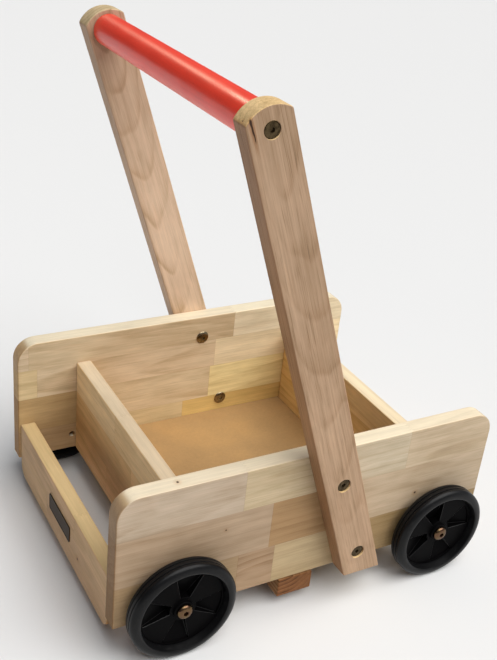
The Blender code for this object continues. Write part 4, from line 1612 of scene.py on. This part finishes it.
# ================================================================ wheels
@dataclass
class Wheels:
    """The four wheels: a tyre and a hub each, on a flanged bush and a dome-head bolt.

    Sizes are in an axle's own frame: the tyre's middle plane at Z 0, and +Z away from the walker.
    """

    seat: float = 46.0 * MM
    shoulder: float = 5.5 * MM
    shoulder_rise: float = 7.5 * MM
    groove_at: float = 2.5 * MM
    groove_half: float = 0.75 * MM
    groove_deep: float = 1.4 * MM
    web_face: float = 2.0 * MM
    bore: float = 5.3 * MM
    boss: float = 11.0 * MM
    boss_up: float = 3.5 * MM
    pocket_inner: float = 14.5 * MM
    pocket_outer: float = 43.5 * MM
    pocket_angle: int = 41
    pocket_shallow: float = 2.5 * MM
    pocket_deep: float = 9.2 * MM
    turns: dict[str, float] = field(default_factory=lambda: {"front": 19.0, "rear": -8.0})
    tyre_steps: int = 160

    def tyre(self, radius: float, half: float) -> bpy.types.Object:
        """The tyre: a conical inner wall, rounded shoulders and a grooved tread.

        Args:
            radius: the tread's radius.
            half: half of the tyre's width.

        Returns:
            The model.
        """
        flat = half - self.shoulder
        inner = radius - self.shoulder_rise
        wall = arc((inner, flat), (self.shoulder_rise, self.shoulder), (math.pi / 2, 0.0), 12)
        lip = [
            (inner - 2.5 * MM, half - 0.75 * MM),
            (inner - 1.9 * MM, half - 0.22 * MM),
            (inner - 1.0 * MM, half - 0.02 * MM),
        ]
        edge = 0.18 * MM
        groove = [
            (radius, self.groove_at + self.groove_half + edge),
            (radius - edge, self.groove_at + self.groove_half),
            (radius - self.groove_deep, self.groove_at + 0.25 * MM),
            (radius - self.groove_deep, self.groove_at - 0.25 * MM),
            (radius - edge, self.groove_at - self.groove_half),
            (radius, self.groove_at - self.groove_half - edge),
        ]
        upper = [*lip, *wall, *groove]
        lower = [(r, -z) for r, z in reversed(upper)]
        foot = [(self.seat, self.web_face), (self.seat + 0.5 * MM, self.web_face + 1.6 * MM)]
        back = [(self.seat + 0.4 * MM, -half + 2.6 * MM), (self.seat, -half + 2.0 * MM)]
        tyre = Bench.turned("tyre_model", [*foot, *upper, *lower, *back], self.tyre_steps, ring=True)
        Bench.smooth(tyre, 34.0)
        return tyre

    def in_pocket(self, point: Vector) -> bool:
        """Whether a point of the web lies in one of the four pockets.

        Args:
            point: the point, in the axle's own frame.

        Returns:
            True inside a pocket.
        """
        radius = point.xy.length
        if not self.pocket_inner < radius < self.pocket_outer:
            return False
        turn = math.degrees(math.atan2(point.y, point.x)) % 90.0
        return turn < self.pocket_angle / 2 or turn > 90.0 - self.pocket_angle / 2

    def hub(self, inner_end: float) -> bpy.types.Object:
        """The hub: a turned disc with four wedge-shaped pockets sunk into its web.

        Args:
            inner_end: the height of the hub's inner boss.

        Returns:
            The model.
        """
        face, top = self.web_face, self.web_face + self.boss_up
        rim = self.seat - 0.3 * MM
        back = face - 6.0 * MM
        dish = back - 6.0 * MM
        profile = [
            (self.bore, top - 0.4 * MM),
            (self.bore + 0.4 * MM, top),
            (self.boss - MM, top),
            *arc((self.boss - MM, top - MM), (MM, MM), (math.pi * 0.33, 0.0), 3),
            (self.boss, face + 0.6 * MM),
            (self.boss + 0.2 * MM, face + 0.2 * MM),
            (self.boss + 0.6 * MM, face),
            (self.pocket_inner, face),
            (self.pocket_outer, face),
            (rim - 0.4 * MM, face),
            (rim, face - 0.4 * MM),
            (rim, face - 10.0 * MM),
            (rim - 3.0 * MM, face - 10.0 * MM),
            (rim - 3.0 * MM, back),
            (self.boss + 6.0 * MM, dish),
            (self.boss, dish),
            (self.boss, inner_end),
            (self.bore, inner_end),
        ]
        hub = Bench.turned("hub_model", profile, 360, ring=True)
        half_step = math.radians(0.5)
        hub.data.transform(Matrix.Rotation(half_step, 4, "Z"))
        Bench.take(hub)
        bpy.ops.object.mode_set(mode="EDIT")
        flat = face - 0.05 * MM
        Bench.pick(
            hub,
            Element.FACE,
            lambda f: f.calc_center_median().z > flat and self.in_pocket(f.calc_center_median()),
        )
        shallow = (0.0, 0.0, -self.pocket_shallow)
        bpy.ops.mesh.extrude_region_move(TRANSFORM_OT_translate={"value": shallow})
        floor = face - self.pocket_shallow
        inside = self.pocket_inner + MM
        Bench.pick(
            hub,
            Element.CORNER,
            lambda v: abs(v.co.z - floor) < 0.05 * MM and v.co.xy.length < inside,
        )
        bpy.ops.transform.translate(value=(0.0, 0.0, self.pocket_shallow - self.pocket_deep))
        bpy.ops.object.mode_set(mode="OBJECT")
        rubbed = Plastic("hub_edges_rubbed", (0.010, 0.0098, 0.0095), 0.28, shine=0.45).material()
        for layer in (None, rubbed):
            hub.data.materials.append(layer)
        Bench.round_edges(hub, self.pocket_edge, 0.35 * MM, 2, 1)
        for face in hub.data.polygons:
            if not self.pocket_inner + MM < face.center.xy.length < self.pocket_outer - MM:
                face.material_index = 0
        Bench.smooth(hub, 34.0)
        return hub

    def pocket_edge(self, edge: bmesh.types.BMEdge) -> bool:
        """Whether an edge belongs to a pocket's mouth, wall or floor.

        Args:
            edge: the edge.

        Returns:
            True if it does.
        """
        middle = (edge.verts[0].co + edge.verts[1].co) / 2
        radius = middle.xy.length
        near = self.pocket_inner - 0.2 * MM < radius < self.pocket_outer + 0.2 * MM
        above = middle.z > self.web_face - self.pocket_deep - 0.2 * MM and middle.z > -8.0 * MM
        return near and above and is_corner(edge, 35.0) and not self.on_back(middle)

    def on_back(self, point: Vector) -> bool:
        """Whether a point lies on the hub's back.

        Args:
            point: the point, in the axle's own frame.

        Returns:
            True if it does.
        """
        radius = point.xy.length
        rim = self.seat - 3.3 * MM
        back, dish = self.web_face - 6.0 * MM, self.web_face - 12.0 * MM
        share = min(1.0, max(0.0, (rim - radius) / (rim - self.boss - 6.0 * MM)))
        return abs(point.z - (back + (dish - back) * share)) < 0.3 * MM

    def bush(self, low: float, high: float, flange: float) -> bpy.types.Object:
        """The flanged bush that the hub turns on.

        Args:
            low: the height of its flange's face on the panel.
            high: the height of its outer end.
            flange: the flange's radius.

        Returns:
            The model.
        """
        inner, outer, thick, chamfer = 3.3 * MM, 5.0 * MM, 1.5 * MM, 0.3 * MM
        profile = [
            (inner, high),
            (outer - chamfer, high),
            (outer, high - chamfer),
            (outer, low + thick),
            (flange - chamfer, low + thick),
            (flange, low + thick - chamfer),
            (flange, low + chamfer),
            (flange - chamfer, low),
            (inner, low),
        ]
        bush = Bench.turned("bush_model", profile, 64, ring=True)
        Bench.smooth(bush, 32.0)
        return bush

    def build(self, fasteners: Fasteners) -> None:
        """Builds the four wheels with their bushes and bolts.

        Args:
            fasteners: makes the axle bolts.
        """
        low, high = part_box("tyre_front_left")
        radius, half = (high.z - low.z) / 2, (high.y - low.y) / 2
        plane = (low.y + high.y) / 2
        bush_low, bush_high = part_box("axle_bush_front_left")
        bolt_low, bolt_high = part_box("axle_bolt_front_left")
        hub_low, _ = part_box("wheel_hub_front_left")
        rise = 4.3 * MM
        models = {
            "tyre": self.tyre(radius, half),
            "wheel_hub": self.hub(hub_low.y - plane),
            "axle_bush": self.bush(
                bush_low.y - plane, bush_high.y - plane, (bush_high.x - bush_low.x) / 2
            ),
            "axle_bolt": fasteners.axle_bolt(
                (bolt_high.x - bolt_low.x) / 2, bolt_high.y - plane - rise, rise, bolt_low.y - plane
            ),
        }
        paints = {
            "tyre": (Rubber("tyre_black", (0.0052, 0.0052, 0.0056)).material(), Slot.TYRE),
            "wheel_hub": (
                Plastic("hub_black", (0.0024, 0.0022, 0.0024), 0.42, shine=0.03).material(),
                Slot.HUB,
            ),
            "axle_bush": (Plastic("bush_white", (0.74, 0.72, 0.66), 0.42).material(), Slot.NYLON),
            "axle_bolt": (
                Plating("yellow_plating", (0.150, 0.100, 0.047), (0.140, 0.076, 0.048), 0.25).material(),
                Slot.YELLOW,
            ),
        }
        for axle, turn in self.turns.items():
            for side, sign in SIDES.items():
                low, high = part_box(f"tyre_{axle}_{side}")
                stand = Matrix.Translation((low + high) / 2) @ Matrix.Rotation(-sign * math.pi / 2, 4, "X")
                spun = stand @ Matrix.Rotation(-sign * math.radians(turn), 4, "Z")
                for kind, model in models.items():
                    rolls = kind in ("tyre", "wheel_hub")
                    node = f"{kind}_{axle}_{side}"
                    piece = Bench.placed(model, node + "_moulded", spun if rolls else stand)
                    body = f"{axle}_{side}_wheel" if rolls else "frame"
                    Bench.hand_over(piece, *paints[kind], body, node)
        for model in models.values():
            bpy.data.objects.remove(model, do_unlink=True)


# ================================================================ studio
@dataclass(frozen=True)
class Lamp:
    """A square soft light: where it hangs, what it points at, its side, its power and its colour."""

    name: str
    at: Triple
    aim: Triple
    size: float
    watts: float
    colour: Colour
    only_reflected: bool = False

    def hang(self) -> None:
        """Hangs the light."""
        data = bpy.data.lights.new(self.name, "AREA")
        data.shape = "SQUARE"
        data.size = self.size
        data.energy = self.watts
        data.color = self.colour
        lamp = bpy.data.objects.new(self.name, data)
        bpy.context.scene.collection.objects.link(lamp)
        lamp.location = self.at
        lamp.rotation_euler = (Vector(self.aim) - Vector(self.at)).to_track_quat("-Z", "Y").to_euler()
        lamp.visible_diffuse = not self.only_reflected


@dataclass
class Studio:
    """A pale floor, soft lights and the camera."""

    eye: Triple = (-0.50988, -0.83194, 0.76496)
    aim: Triple = (-0.00686, 0.0, 0.25247)
    roll: float = math.radians(6.135)
    lens: float = 54.08
    skylight: float = 3.4
    skylight_spread: float = 62.0
    skylight_from: Triple = (0.30, -0.40, 0.87)
    skylight_colour: Colour = (1.0, 0.985, 0.955)
    lamps: tuple[Lamp, ...] = (
        Lamp("sparkle", (-0.9, -1.3, 1.9), (0.0, 0.0, 0.1), 0.35, 3.0, (0.93, 0.96, 1.0)),
        Lamp("glint", (-0.19, 1.67, 1.98), (-0.19, 0.0, 0.55), 0.45, 13.0, (1.0, 0.91, 0.66), True),
    )
    bright_side: Triple = (0.5, -0.35, 0.8)
    dim: Colour = (0.05, 0.05, 0.06)
    bright: Colour = (0.42, 0.44, 0.47)
    backdrop: Colour = (0.88, 0.88, 0.87)

    def floor(self) -> None:
        """A plain pale floor under the wheels."""
        Bench.clear()
        bpy.ops.mesh.primitive_plane_add(size=24.0, location=(0.0, 0.0, 0.0))
        floor = bpy.context.object
        floor.name = "floor"
        g = Graph.named("floor_pale")
        floor.data.materials.append(g.finish((0.73, 0.73, 0.73), 0.85, Specular_IOR_Level=0.15))

    def lights(self) -> None:
        """A broad light overhead, a sparkle, a glint that only shows in reflections, and a soft surround."""
        data = bpy.data.lights.new("skylight", "SUN")
        data.energy = self.skylight
        data.angle = math.radians(self.skylight_spread)
        data.color = self.skylight_colour
        skylight = bpy.data.objects.new("skylight", data)
        bpy.context.scene.collection.objects.link(skylight)
        skylight.rotation_euler = Vector(self.skylight_from).to_track_quat("Z", "Y").to_euler()
        for lamp in self.lamps:
            lamp.hang()

    def surround(self) -> None:
        """A soft surround that is brighter on one side, with a plain pale backdrop before the camera."""
        world = bpy.data.worlds.new("surround")
        g = Graph(world, "Background")
        place = g.node("ShaderNodeTexCoord").outputs["Generated"]
        toward = g.along(place, tuple(Vector(self.bright_side).normalized()))
        stops = ((0.0, self.dim), (1.0, self.bright))
        shade = g.node("ShaderNodeValToRGB", {"stops": stops}, {"Fac": toward}).outputs["Color"]
        seen = Num(g, g.node("ShaderNodeLightPath").outputs["Is Camera Ray"])
        g.plug(g.mix(seen, shade, self.backdrop), g.shader.inputs["Color"])
        bpy.context.scene.world = world

    def camera(self) -> None:
        """The camera, leaning a little to one side."""
        data = bpy.data.cameras.new("camera")
        data.lens = self.lens
        camera = bpy.data.objects.new("camera", data)
        bpy.context.scene.collection.objects.link(camera)
        look = (Vector(self.aim) - Vector(self.eye)).to_track_quat("-Z", "Y").to_matrix().to_4x4()
        camera.matrix_world = Matrix.Translation(self.eye) @ look @ Matrix.Rotation(self.roll, 4, "Z")
        bpy.context.scene.camera = camera

    def build(self) -> None:
        """Sets the floor, the lights, the surround, the camera and plain colours."""
        self.floor()
        self.lights()
        self.surround()
        self.camera()
        bpy.context.scene.view_settings.view_transform = "Standard"


def main() -> None:
    """Builds the walker's looks in order."""
    logging.basicConfig(level=logging.INFO, format="%(name)s: %(message)s")
    Studio().build()
    Tray().build()
    fasteners = Fasteners()
    fasteners.build()
    Handle().build()
    Wheels().build(fasteners)
    Bench.clear()


if __name__ == "__main__":
    main()
